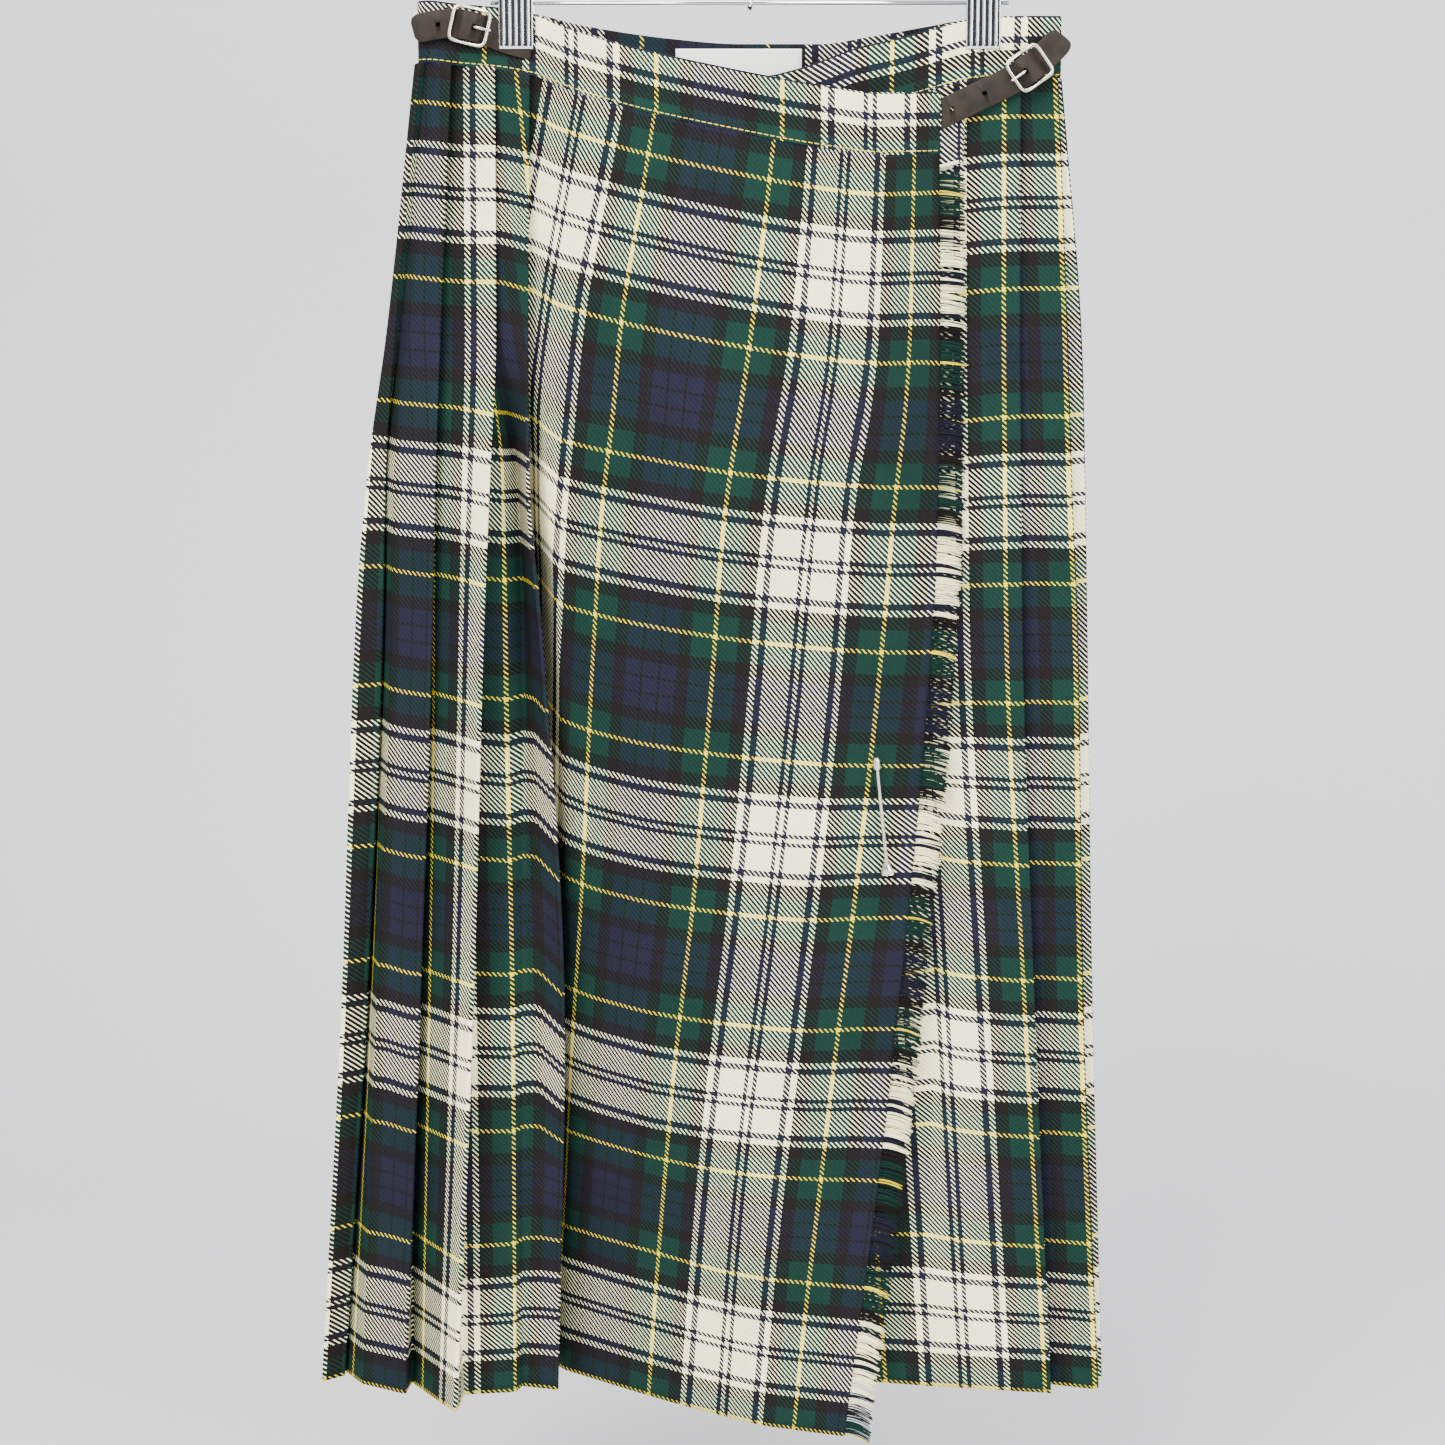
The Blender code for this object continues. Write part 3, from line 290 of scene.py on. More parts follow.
# %% Curves through the tables
def through(at, values, x):
    """A smooth curve through `values` at places `at` that never overshoots: between two places it is
    the cubic whose slope at each is the harmonic mean of the slopes on its two sides."""
    at, values = np.asarray(at, float), np.asarray(values, float)
    x = np.clip(np.asarray(x, float), at[0], at[-1])
    run = np.diff(at)
    rise = np.diff(values) / run
    slope = np.concatenate([rise[:1], np.zeros(len(at) - 2), rise[-1:]])
    before, after = rise[:-1], rise[1:]
    same = before * after > 0
    slope[1:-1][same] = 2 * before[same] * after[same] / (before[same] + after[same])
    k = np.clip(np.searchsorted(at, x, side="right") - 1, 0, len(run) - 1)
    t = (x - at[k]) / run[k]
    keep = 2 * t**3 - 3 * t**2 + 1
    return (keep * values[k] + (1 - keep) * values[k + 1]
            + (t**3 - 2 * t**2 + t) * run[k] * slope[k] + (t**3 - t**2) * run[k] * slope[k + 1])


def unit(vectors):
    """Vectors brought to length one."""
    return vectors / np.linalg.norm(vectors, axis=-1, keepdims=True)


def distances(points):
    """Distance along a path at each of its points."""
    return np.concatenate([[0], np.cumsum(np.linalg.norm(np.diff(points, axis=0), axis=1))])


def points_at(at, run, points):
    """The points at the distances `at` along a path whose own points lie at the distances `run`."""
    return np.stack([np.interp(at, run, column) for column in points.T], -1)


def along(table, x):
    """Z over x on a table of (X, Z) pairs."""
    xs, zs = zip(*table)
    return through(xs, zs, x)


def band_line(first, last, steps=2):
    """X, Y at the foot, Y at the top and Z of the foot along the waistband, `steps` points a row."""
    rows = np.array(WAISTBAND, float)
    fine = np.linspace(first, last, steps * (last - first) + 1)
    return [through(np.arange(len(rows)), rows[:, i], fine) for i in range(4)]


def band_over(x, first, last):
    """Y and Z of the waistband's foot over x, between two of its rows."""
    xs, foot_y, _, foot_z = band_line(first, last)
    order = np.argsort(xs)
    return np.interp(x, xs[order], foot_y[order]), np.interp(x, xs[order], foot_z[order])


# %% [markdown]
# ## From table to folded line
#
# At one height the line runs through its folds.  A pressed edge is a small round turn, not a corner, so
# each ridge or valley becomes an arc.  A stripe follows its own warp threads from seam to hem, so each
# point also carries its warp position: it is set at a fold's outer edge, and is measured back from there
# along the cloth.  What is left over or short lies in the hidden part of the fold.

# %% Warp positions (in 1/290 of the tartan's repeat) at the folds' outer edges
REPEAT = 290.0
REPEAT_MM = 163.0
UNIT = REPEAT_MM / REPEAT                     # mm for each unit
REPEAT_THREADS = 270.0
SIDE_TO_SIDE_WARP = 2075.0                    # reached at the left side, at the end of the back's pleats
# Six values where a fold's edge wanders across the threads on its way down, else one
EDGE_WARP = {"edge_a": (100, 100, 100, 100, 94, 89.5), "edge_b": 209.0, "right": 326.0,
             "side": (2086, 2083.5, 2075, 2073.5, 2074.5, 2074.5),
             "edge_1": (2090, 2090.5, 2093, 2097, 2095, 2094),
             "edge_2": (2210, 2200, 2190, 2188.5, 2189, 2191.5),
             "edge_3": 2305.0, "yellow_line": 2403.5, "edge_4": (2539, 2505, 2475, 2460, 2460, 2460)}
# The cloth isn't hung quite square.  How far its wefts hang below an even spacing from seam to hem, in mm,
# at shares of the way down and at places across the front
SAG_SHARES = (0, 0.13, 0.25, 0.40, 0.55, 0.75, 0.88, 1.0)
SAG_AT = (-210, -197, -160, -138, -122, -107, -90, -56, -16, 28, 60, 95, 108, 120, 150)
SAG = ((0, 0, 0, 0, 0, 0, 0, 0),
       (0, 0.5, 2, 2, 2, 2.5, 1.5, 0),
       (1, 1.5, 3, 3.5, 3, 2.5, 4.5, 0),
       (0, 0, 5.5, 6, 5, 3, 3.5, 0),
       (0.5, 1.5, 6, 5, 2.5, 0.5, 1, 0),
       (2.5, 4, 13, 15.5, 15.5, 13, 2, 0),
       (2.2, 4, 12, 14.5, 16.5, 14, 2, 0),
       (2, 3.6, 9.5, 12, 14.5, 13.5, 1.5, 0),
       (2, 3.2, 8, 9.5, 10.5, 9.5, 2.5, 0),
       (2, 2.5, 5.5, 6.5, 6.5, 4, 0, 0),
       (1.5, 1.5, 3.5, 5, 2, 1, 0, 0),
       (1, 1.5, 5, 6.5, 1.5, 0, 0, 0),
       (0.5, 2.5, 6, 6, 0.5, -1, 0, 0),
       (0.5, 1, 5, 4.5, 3, 3, 2.5, 0),
       (0.5, 0, 3.2, 3.8, 4.2, 5, 4, 0))
# How far the over apron's stripes run to the left of an even spacing, in mm, in the same way
DRIFT_AT = (-125, -95, -70, -44, -19, 6, 31, 57, 82, 105)
DRIFT = ((0, 0, 0, 0, 0, 0, 0, 0),
         (4, 5.5, 2, 0.5, 0.5, 3, 3, 2),
         (3.5, 5, 1, 1, 1, 4.5, 4.5, 3.5),
         (4, 4.5, 0.5, -1, -1, 3.5, 4, 3.5),
         (0, -0.5, 0.5, -1, -1.5, 2.5, 4, 3.5),
         (-3.5, -2.2, 0, -1, -1.5, 3, 4.5, 4),
         (-4, -4, 1, 0.5, 1.5, 4.5, 6, 5.5),
         (0, 1, 6.5, 4, 4, 6.5, 6, 8),
         (0, 1, 4, 2.5, 3.5, 5, 6, 8),
         (0, 0, 0, -1.5, -1.5, 0, 0, 0))
APRON_WHITE_WARP = 2900.0                     # the middle of the over apron's white stripe
APRON_WHITE_X = (51, 42, 33, 26, 5, -12)      # where that stripe runs down
APRON_LEFT_WARP = (-341, -290, -266, -248, -215, -190)        # from the stripe to the apron's two edges
APRON_EDGE_WARP = (116, 121, 127, 131, 131, 131)


def at_section(values, v):
    """A table's value at the share v of the way down."""
    return float(through(SECTIONS, values, v))


def waver(seed, v, size):
    """A slow sideways wander of up to about `size`, different for each seed and nothing at the seam."""
    phase = seed * 2.399
    return size * v * (0.6 * math.sin(3.1 * v + phase) + 0.4 * math.sin(7.3 * v + 2.1 * phase))


def outline(v, steps=240):
    """The sides and back in plan: points from the right end anticlockwise to the left end, their
    distance along the outline, and the way inwards at each."""
    right, left = at_section(RIGHT_END_X, v), at_section(LEFT_END_X, v)
    end_y, back_y = at_section(END_Y, v), at_section(BACK_Y, v)
    turn = np.linspace(0, math.pi, steps)
    power = 2 / at_section(SQUARENESS, v)
    x = (right + left) / 2 + (right - left) / 2 * np.sign(np.cos(turn)) * np.abs(np.cos(turn))**power
    y = end_y + (back_y - end_y) * np.sin(turn)**power
    grip = CLIP_PINCH * math.exp(-(v / PINCH_REACH)**2)
    y = y - grip * np.exp(-((np.abs(x) - CLIP_X) / PINCH_WIDTH)**2)
    points = np.stack([x, y], 1)
    depth = at_section(SIDE_DEPTH, v)
    spine = np.stack([np.clip(x, left + depth, right - depth), np.full(steps, end_y - 1)], 1)
    return points, distances(points), spine - points


def on_outline(shape, distance, inset):
    """The point at a distance along the outline, moved inwards by `inset`."""
    points, run, inward = shape
    return points_at(distance, run, points) + unit(points_at(distance, run, inward)) * inset


def table_corners(table, v):
    """A fold table's rows at one height as (name, kind, point)."""
    return [(name, kind, np.array([at_section(xs, v), at_section(ys, v)])) for name, kind, xs, ys in table]


def back_corners(v):
    """Ridge, valley and the middle of each face of the back's pleats, a little uneven from one to the
    next: each edge wanders sideways and each valley differs in depth."""
    shape = outline(v)
    length = shape[1][-1]
    rise, lap = at_section(PLEAT_RISE, v), at_section(PLEAT_LAP, v)
    corners = [("right", "ridge", on_outline(shape, 0.0, 0.0))]
    for k in range(1, BACK_PLEATS + 1):
        ease = min(1, (k - 1) / 3, (BACK_PLEATS + 2 - k) / 4)
        tucked = (length * (k - 1) / BACK_PLEATS - (lap * ease - OPEN_AT_SIDE * (1 - ease))
                  + (waver(k, v, 2.0) if k > 1 else 0))
        edge = length * k / BACK_PLEATS + (waver(k + 40, v, 3.0) if k < BACK_PLEATS else 0)
        deep = rise * (1 + 0.22 * v * math.sin(k * 1.9))
        corners.append((f"valley_{k}", "valley", on_outline(shape, tucked, deep)))
        corners.append((f"face_{k}", "soft", on_outline(shape, (tucked + edge) / 2, deep * 0.46)))
        corners.append((f"ridge_{k}", "ridge", on_outline(shape, edge, 0.0)))
    corners[-1] = ("left", "soft", corners[-1][2])
    return corners


ARC_STEPS = 6                                 # points round each fold
FACE_STEPS = 5                                # points along each straight between folds


def rounded_path(corners, width):
    """The cloth's middle in plan: an arc round each ridge and valley, straight between, as points and
    the number of the corner that each point belongs to (between two corners, a fraction)."""
    ends, place = [], []
    for i, (_, kind, point) in enumerate(corners):
        if kind == "soft" or i in (0, len(corners) - 1):
            ends.append(point[None, :])
            place.append(np.array([float(i)]))
            continue
        into = point - corners[i - 1][2]
        out_of = corners[i + 1][2] - point
        tip = unit(unit(into) - unit(out_of))
        side = np.array([-tip[1], tip[0]]) * (1 if kind == "ridge" else -1)
        turn = np.linspace(-math.pi / 2, math.pi / 2, ARC_STEPS)
        arc = (point + side * np.sin(turn)[:, None] * width / 2
               + tip * (np.cos(turn)[:, None] - 1) * width / 2)
        ends.append(arc)
        place.append(np.full(ARC_STEPS, float(i)))
    points, places = [ends[0]], [place[0]]
    share = np.linspace(0, 1, FACE_STEPS + 2)[1:-1]
    for i in range(1, len(ends)):
        start, stop = ends[i - 1][-1], ends[i][0]
        points += [start + (stop - start) * share[:, None], ends[i]]
        places += [i - 1 + share, place[i]]
    return np.vstack(points), np.concatenate(places)


def softened(points, steps):
    """A smooth plan curve through soft points, with evenly shared points."""
    share = distances(points)
    even = np.linspace(0, share[-1], steps)
    return np.stack([through(share, points[:, i], even) for i in (0, 1)], 1)


# %% The whole strip at one height, with its warp positions
def edge_warp(name, v):
    """The warp position at a fold's outer edge, or None for a point that has none of its own."""
    if name.startswith("ridge_"):
        return EDGE_WARP["right"] + (SIDE_TO_SIDE_WARP - EDGE_WARP["right"]) * int(name[6:]) / BACK_PLEATS
    value = EDGE_WARP.get(name)
    return at_section(value, v) if isinstance(value, tuple) else value


def strip_at(v):
    """Plan points from the hidden free edge to the fringed edge, and the warp position of each."""
    under = table_corners(UNDER_APRON, v)
    folds = under[-1:] + table_corners(RIGHT_PLEATS, v) + back_corners(v) + table_corners(LEFT_PLEATS, v)
    over = table_corners(OVER_APRON, v)
    flat_right = softened(np.array([point for _, _, point in under[:-1]]), UNDER_POINTS)
    flat_left = softened(np.array([point for _, _, point in over]), OVER_POINTS)
    lead = [("lead", "soft", flat_right[-1])] + folds + [("tail", "soft", flat_left[0])]
    middle, place = rounded_path(lead, at_section(FOLD_WIDTH, v))
    arc = distances(middle)
    names = [name for name, _, _ in lead]
    known_at, known = [], []
    valley = None
    for i, (name, kind, _) in enumerate(lead):
        spots = arc[place == i]
        value = edge_warp(name, v)
        if value is not None:
            spot = float(np.mean(spots))
            if valley is not None:
                known_at.append(valley[-1])
                known.append(value - (spot - valley[-1]) / UNIT)
            known_at.append(spot)
            known.append(value)
            valley = None
        elif kind == "valley" and known:
            known.append(known[-1] + (spots[0] - known_at[-1]) / UNIT)
            known_at.append(spots[0])
            valley = spots
    crease, edge_4 = (float(np.mean(arc[place == names.index(name)])) for name in ("crease", "edge_4"))
    known_at.append(crease)
    known.append(at_section(EDGE_WARP["edge_4"], v) - (edge_4 - crease) / UNIT)
    apron_arc = distances(flat_left)
    white_at = float(np.interp(at_section(APRON_WHITE_X, v), flat_left[:, 0], apron_arc))
    apron_warp = APRON_WHITE_WARP + np.interp(apron_arc, [0, white_at, apron_arc[-1]],
                                              [at_section(APRON_LEFT_WARP, v), 0,
                                               at_section(APRON_EDGE_WARP, v)])
    known_at += [valley[-1], arc[-1]]
    known += [apron_warp[0] - (arc[-1] - valley[-1]) / UNIT, apron_warp[0]]
    order = np.argsort(known_at)
    known_at, known = np.array(known_at)[order], np.array(known)[order]
    first = names.index("edge_a")
    start = float(np.mean(arc[place == first]))
    warp = np.interp(arc, known_at, known)
    before = arc < start
    warp[before] = edge_warp("edge_a", v) - (start - arc[before]) / UNIT
    under_arc = distances(flat_right)
    under_warp = warp[0] - (under_arc[-1] - under_arc) / UNIT
    points = np.vstack([flat_right[:-1], middle, flat_left[1:]])
    return points, np.concatenate([under_warp[:-1], warp, apron_warp[1:]]), place, names


# %% [markdown]
# ## The tartan
#
# Tartan is woven, not printed: the same order of coloured threads runs in the warp and in the weft, and a
# two-and-two twill lets each cross over two and under two.  Where two colours cross, both show as fine
# diagonal lines.  The material does the same sum: it counts threads in both directions from the cloth's
# own coordinates, looks each colour up in the repeat, and picks warp or weft by the twill's diagonal.

# %% Woven materials
STRIPES = (("white", 2), ("navy", 4), ("white", 26), ("navy", 6), ("white", 6), ("black", 13), ("green", 19),
           ("yellow", 4), ("green", 20), ("black", 12), ("navy", 14), ("black", 2), ("navy", 7))
YARNS = {"white": "#FFF7C8", "navy": "#1B1A29", "black": "#171413", "green": "#102B24",
         "yellow": "#EED21A"}
HALF_REPEAT = sum(count for _, count in STRIPES)      # threads, then the order turns round
RIB = 5.0      # threads from one diagonal rib to the next; a fine twill has 4, drawn wider so that it shows
GROOVE_SHADE = 0.39                                 # share of the rib painted with the darker yarn, as painted shade in the twill's grooves


def stripe_colour(tree, thread):
    """The colour of thread number n: the half repeat is read forwards, then backwards."""
    share = calc(tree, "DIVIDE", calc(tree, "PINGPONG", thread, HALF_REPEAT), HALF_REPEAT)
    ramp = add_node(tree, "ShaderNodeValToRGB", Fac=share)
    stops = ramp.color_ramp
    stops.interpolation = "CONSTANT"
    start = 0
    for i, (colour, count) in enumerate(STRIPES):
        stop = stops.elements[0] if i == 0 else stops.elements.new(start / HALF_REPEAT)
        stop.color = linear(YARNS[colour])
        start += count
    stops.elements.remove(stops.elements[-1])
    return ramp.outputs["Color"]


def woven(name, weft_only=False):
    """Wool twill: its UVs count threads, U across the warp and V down the weft."""
    material, tree, shader = new_material(name, rough=0.9)
    shader.inputs["Specular IOR Level"].default_value = 0.1
    uv = add_node(tree, "ShaderNodeUVMap", {"uv_map": "threads"})
    axes = add_node(tree, "ShaderNodeSeparateXYZ", Vector=uv.outputs[0])
    across, down = axes.outputs["X"], axes.outputs["Y"]
    rib = calc(tree, "PINGPONG", calc(tree, "SUBTRACT", across, down), RIB / 2)
    weft = stripe_colour(tree, down)
    colour = weft
    if not weft_only:
        warp = stripe_colour(tree, across)
        warp_on_top = calc(tree, "GREATER_THAN", rib, RIB / 4)
        twill = mix_colours(tree, "MIX", warp_on_top, weft, warp)
        # Painted shade: along each groove between the twill's ribs the colour is the darker of the two
        # yarns, standing in for the shadow in the groove
        darker = mix_colours(tree, "DARKEN", 1.0, weft, warp)
        in_groove_shade = calc(tree, "COMPARE", rib, RIB / 4, GROOVE_SHADE * RIB / 4)
        colour = mix_colours(tree, "MIX", in_groove_shade, twill, darker)
    fluff = surface_texture(tree, "ShaderNodeTexNoise", Scale=700.0, Detail=3.0).outputs["Fac"]
    cloud = surface_texture(tree, "ShaderNodeTexNoise", Scale=24.0, Detail=2.0).outputs["Fac"]
    shade = add_node(tree, "ShaderNodeMapRange",
                     inputs={"From Min": 0.6, "From Max": 1.4, "To Min": 0.80, "To Max": 1.10},
                     Value=calc(tree, "ADD", fluff, cloud))
    shaded = add_node(tree, "ShaderNodeVectorMath", {"operation": "SCALE"}, i0=colour,
                      Scale=shade.outputs[0])
    tree.links.new(shaded.outputs[0], shader.inputs["Base Color"])
    add_bump(tree, shader, calc(tree, "ADD", rib, fluff), 0.35, 0.0003)
    return material


wool = woven("wool_twill_woven_tartan")
yarn = woven("unwoven_wool_yarn", weft_only=True)

# %% [markdown]
# ## Cloth pieces
#
# The grid of points has one column for each place along the strip and one row for each height.  The
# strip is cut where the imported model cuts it, in the middle of a hidden face, so each part can be taken
# off on its own.  A `Solidify` modifier gives the thickness, half to each side of the middle.

# %% Grid surfaces
def grid_object(name, points, finish, threads=None, round_rows=False, round_columns=False):
    """A mesh of quads on a grid of points, rows x columns x 3 in mm; a round direction closes on itself.
    `threads` holds a UV pair for each point, and one line more where a direction is round."""
    rows, columns = points.shape[:2]
    mesh = bpy.data.meshes.new(name)
    number = np.arange(rows * columns).reshape(rows, columns)
    if round_rows:
        number = np.vstack([number, number[:1]])
    if round_columns:
        number = np.hstack([number, number[:, :1]])
    corners = np.stack([number[:-1, :-1], number[1:, :-1], number[1:, 1:], number[:-1, 1:]], -1)
    corners = corners.reshape(-1, 4)
    mesh.from_pydata((points.reshape(-1, 3) * MM).tolist(), [], corners.tolist())
    if threads is not None:
        layer = mesh.uv_layers.new(name="threads")
        pairs = np.stack([threads[:-1, :-1], threads[1:, :-1], threads[1:, 1:], threads[:-1, 1:]], 2)
        layer.data.foreach_set("uv", pairs.reshape(-1).astype(np.float32))
    mesh.shade_smooth()
    mesh.materials.append(finish)
    return add_object(name, mesh)


def thicken(piece, wall):
    """A live Solidify of `wall` mm, half to each side of the grid."""
    change = piece.modifiers.new("wall", "SOLIDIFY")
    change.thickness = wall * MM
    change.offset = 0
    change.use_quality_normals = True


# %% The grid of the whole strip
ROW_COUNT = 129
WEFT_SPAN, WEFT_START = 1365.0, -119.0        # weft positions from seam to hem, in 1/290 of the repeat
THREADS = REPEAT_THREADS / REPEAT

levels = np.linspace(0, 1, ROW_COUNT)
strips = [strip_at(v) for v in levels]
plan = np.array([strip[0] for strip in strips])
warp = np.array([strip[1] for strip in strips])
folds, fold_names = strips[0][2], strips[0][3]
FIRST_FOLD = UNDER_POINTS - 1                 # column of the first point that belongs to a fold
OVER_START = plan.shape[1] - OVER_POINTS


def column_of(name, share=0.0):
    """The column of a fold's middle, or of a place `share` of the way on to the next fold."""
    at = fold_names.index(name) + share
    found = np.flatnonzero(np.abs(folds - at) < 1e-6)
    return FIRST_FOLD + int(found[len(found) // 2])


right_side, left_side = column_of("right"), column_of("left")
band_y, band_z = np.hstack([band_over(plan[0, :right_side, 0], HIDDEN_END, RIGHT_SIDE),
                            band_over(plan[0, right_side:left_side, 0], RIGHT_SIDE, LEFT_SIDE),
                            band_over(plan[0, left_side:, 0], LEFT_SIDE, FRONT_END)])
seam_z = band_z - TOP_GAP
hem_z = along(PLEAT_HEM, plan[-1, :, 0])
under_end = column_of("edge_a")
hem_z[:under_end + 1] = along(UNDER_HEM, plan[-1, :under_end + 1, 0])
hem_z[OVER_START:] = along(APRON_HEM, plan[-1, OVER_START:, 0])
cloth = np.dstack([plan, seam_z + (hem_z - seam_z) * levels[:, None]])
weft = np.repeat((levels * WEFT_SPAN + WEFT_START)[:, None], warp.shape[1], axis=1)
sags = np.array([through(SAG_SHARES, column, levels) for column in SAG]).T
drifts = np.array([through(SAG_SHARES, column, levels) for column in DRIFT]).T
for row, places in enumerate(plan[:, :, 0]):
    weft[row] -= np.interp(places, SAG_AT, sags[row]) / UNIT
    warp[row, OVER_START:] += np.interp(places[OVER_START:], DRIFT_AT, drifts[row]) / UNIT
threads = np.dstack([warp, weft]) * THREADS

# The cloth's top goes on up inside the band: how far above the seam, and the share of the pleats' depth left
TUCKED_IN = ((2.0, 0.1), (0.7, 0.6))
INSIDE_BAND = (-180.5, 169.5)                 # X that the tucked top stays between
hung, hung_threads = cloth, threads
for up, depth_left in TUCKED_IN[::-1]:
    top = cloth[0].copy()
    inside = np.clip(top[:, 0], *INSIDE_BAND)
    top[:, 0] = inside + (top[:, 0] - inside) * depth_left
    top[:, 1] = band_y + (top[:, 1] - band_y) * depth_left
    top[:, 2] += up
    hung = np.concatenate([top[None], hung])
    hung_threads = np.concatenate([threads[:1] - (0, up / UNIT * THREADS), hung_threads])

PIECES = ("under_apron", "pleats_right", "pleats_back_right", "pleats_back_left", "pleats_left",
          "over_apron")
cuts = [0] + [column_of(name, 0.5) for name in ("edge_a", "ridge_3", "ridge_8", "ridge_13", "edge_4")]
cuts.append(cloth.shape[1] - 1)


HALF_SEAM = 0.15                              # mm


def eased_ends(points, first, last):
    """Moves the cut edges of a piece back by half a seam's gap, so that two pieces never touch."""
    points = points.copy()
    for edge, inner, cut in ((0, 1, first), (-1, -2, last)):
        if cut:
            points[:, edge] += unit(points[:, inner] - points[:, edge]) * HALF_SEAM
    return points


for name, start, stop in zip(PIECES, cuts, cuts[1:]):
    part = eased_ends(hung[:, start:stop + 1], start > 0, stop < cloth.shape[1] - 1)
    piece = grid_object(name + "_cloth", part, wool, hung_threads[:, start:stop + 1])
    thicken(piece, WALL)
    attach(piece, "root")
    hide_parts(name)

# %% [markdown]
# ## The waistband
#
# The band is a strip of the same cloth, folded over the skirt's raw top and lapped over itself in front.
# Its stripes don't meet those of the skirt, because it is cut on its own.  A flat rounded outline is
# carried along the band's route; near the foot it flares over the tops of the pleats.

# %% Bodies carried along a route
def grid_with_ends(name, points, finish, threads=None):
    """A closed body from rings of points (columns are rings, rows go round): the sides as a grid round
    on itself, and one face at each end."""
    body = grid_object(name, points, finish, threads, round_rows=True)
    rows, columns = points.shape[:2]
    ring = np.arange(rows) * columns
    mesh = bmesh.new()
    mesh.from_mesh(body.data)
    mesh.verts.ensure_lookup_table()
    layer = mesh.loops.layers.uv.get("threads")
    for column, order in ((0, ring), (columns - 1, ring[::-1])):
        face = mesh.faces.new([mesh.verts[int(i) + column] for i in order])
        if layer:
            for loop, i in zip(face.loops, order):
                loop[layer].uv = threads[int(i) // columns, column]
    mesh.to_mesh(body.data)
    mesh.free()
    return body


def strip_outline(wall, tall):
    """Round the cross-section of a flat strip: how far down each point is, how far out, and the length
    of cloth to it.  Two flat sides, joined by half circles of the wall's thickness."""
    radius = wall / 2
    down = np.linspace(radius, tall - radius, 9)
    angle = np.linspace(0, math.pi, 7)[1:-1]
    side = np.full(len(down), radius)
    depth = np.concatenate([down, tall - radius + radius * np.sin(angle), down[::-1],
                            radius - radius * np.sin(angle)])
    out = np.concatenate([side, radius * np.cos(angle), -side, -radius * np.cos(angle)])
    loop = np.stack([depth, out], 1)
    cloth_run = distances(np.vstack([loop, loop[:1]]))
    return depth, out, cloth_run


# %% Waistband
BAND_STEPS = 10                               # grid columns between two rows of the table
BAND_TOP_WEFT = 17.0                          # weft position at the band's top edge
BAND_WHITE_UNDER, BAND_WHITE_OVER = 125.0, 65.0     # X where a white warp stripe crosses each lap


def flare(depth):
    """How much of the way from its top line to its foot line the band has gone at a depth below its top."""
    return np.interp(depth / BAND_HEIGHT, (0, 0.78, 0.9, 1), (0, 0, 0.6, 1))


def band_surface(x, foot_y, top_y, foot_z, depth, out):
    """Points at `depth` mm below the band's top edge and `out` mm off its middle, in plan outwards."""
    y = top_y[None, :] + (foot_y - top_y)[None, :] * flare(depth)[:, None]
    run_x = np.gradient(x)[None, :] + 0 * y
    run_y = np.gradient(y, axis=1)
    size = np.hypot(run_x, run_y)
    z = foot_z[None, :] + BAND_HEIGHT - depth[:, None]
    return np.dstack([x[None, :] + run_y / size * out[:, None], y - run_x / size * out[:, None], z])


band = band_line(HIDDEN_END, FRONT_END, BAND_STEPS)
depth, out, around = strip_outline(BAND_WALL, BAND_HEIGHT)
band_points = band_surface(*band, depth, out)
band_run = distances(np.stack([band[0], band[1]], 1))
under_lap = np.arange(RIGHT_SIDE * BAND_STEPS)
over_lap = np.arange(LEFT_SIDE * BAND_STEPS, FRONT_END * BAND_STEPS + 1)
white_under = float(np.interp(BAND_WHITE_UNDER, band[0][under_lap], band_run[under_lap]))
white_over = float(np.interp(BAND_WHITE_OVER, band[0][over_lap], band_run[over_lap]))
repeats = round((white_over - white_under) / REPEAT_MM)
band_warp = (band_run - white_under) / (white_over - white_under) * repeats * REPEAT
band_threads = np.dstack(np.broadcast_arrays(band_warp[None, :], BAND_TOP_WEFT + around[:, None] / UNIT))
waistband = grid_with_ends("waistband_cloth", band_points, wool, band_threads * THREADS)
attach(waistband, "root")
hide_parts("waistband")
print("waistband is", round(float(band_run[-1])), "mm long, with", repeats, "repeats from white to white")

# %% [markdown]
# ## Sewing thread and fringe
#
# The band's foot is topstitched in yellow thread, and the front edge of the over apron is not hemmed: its
# last warp threads are drawn out, so the wefts hang free as a fringe.  Both are many short strands, so
# one function carries a small polygon along thousands of short routes at once.

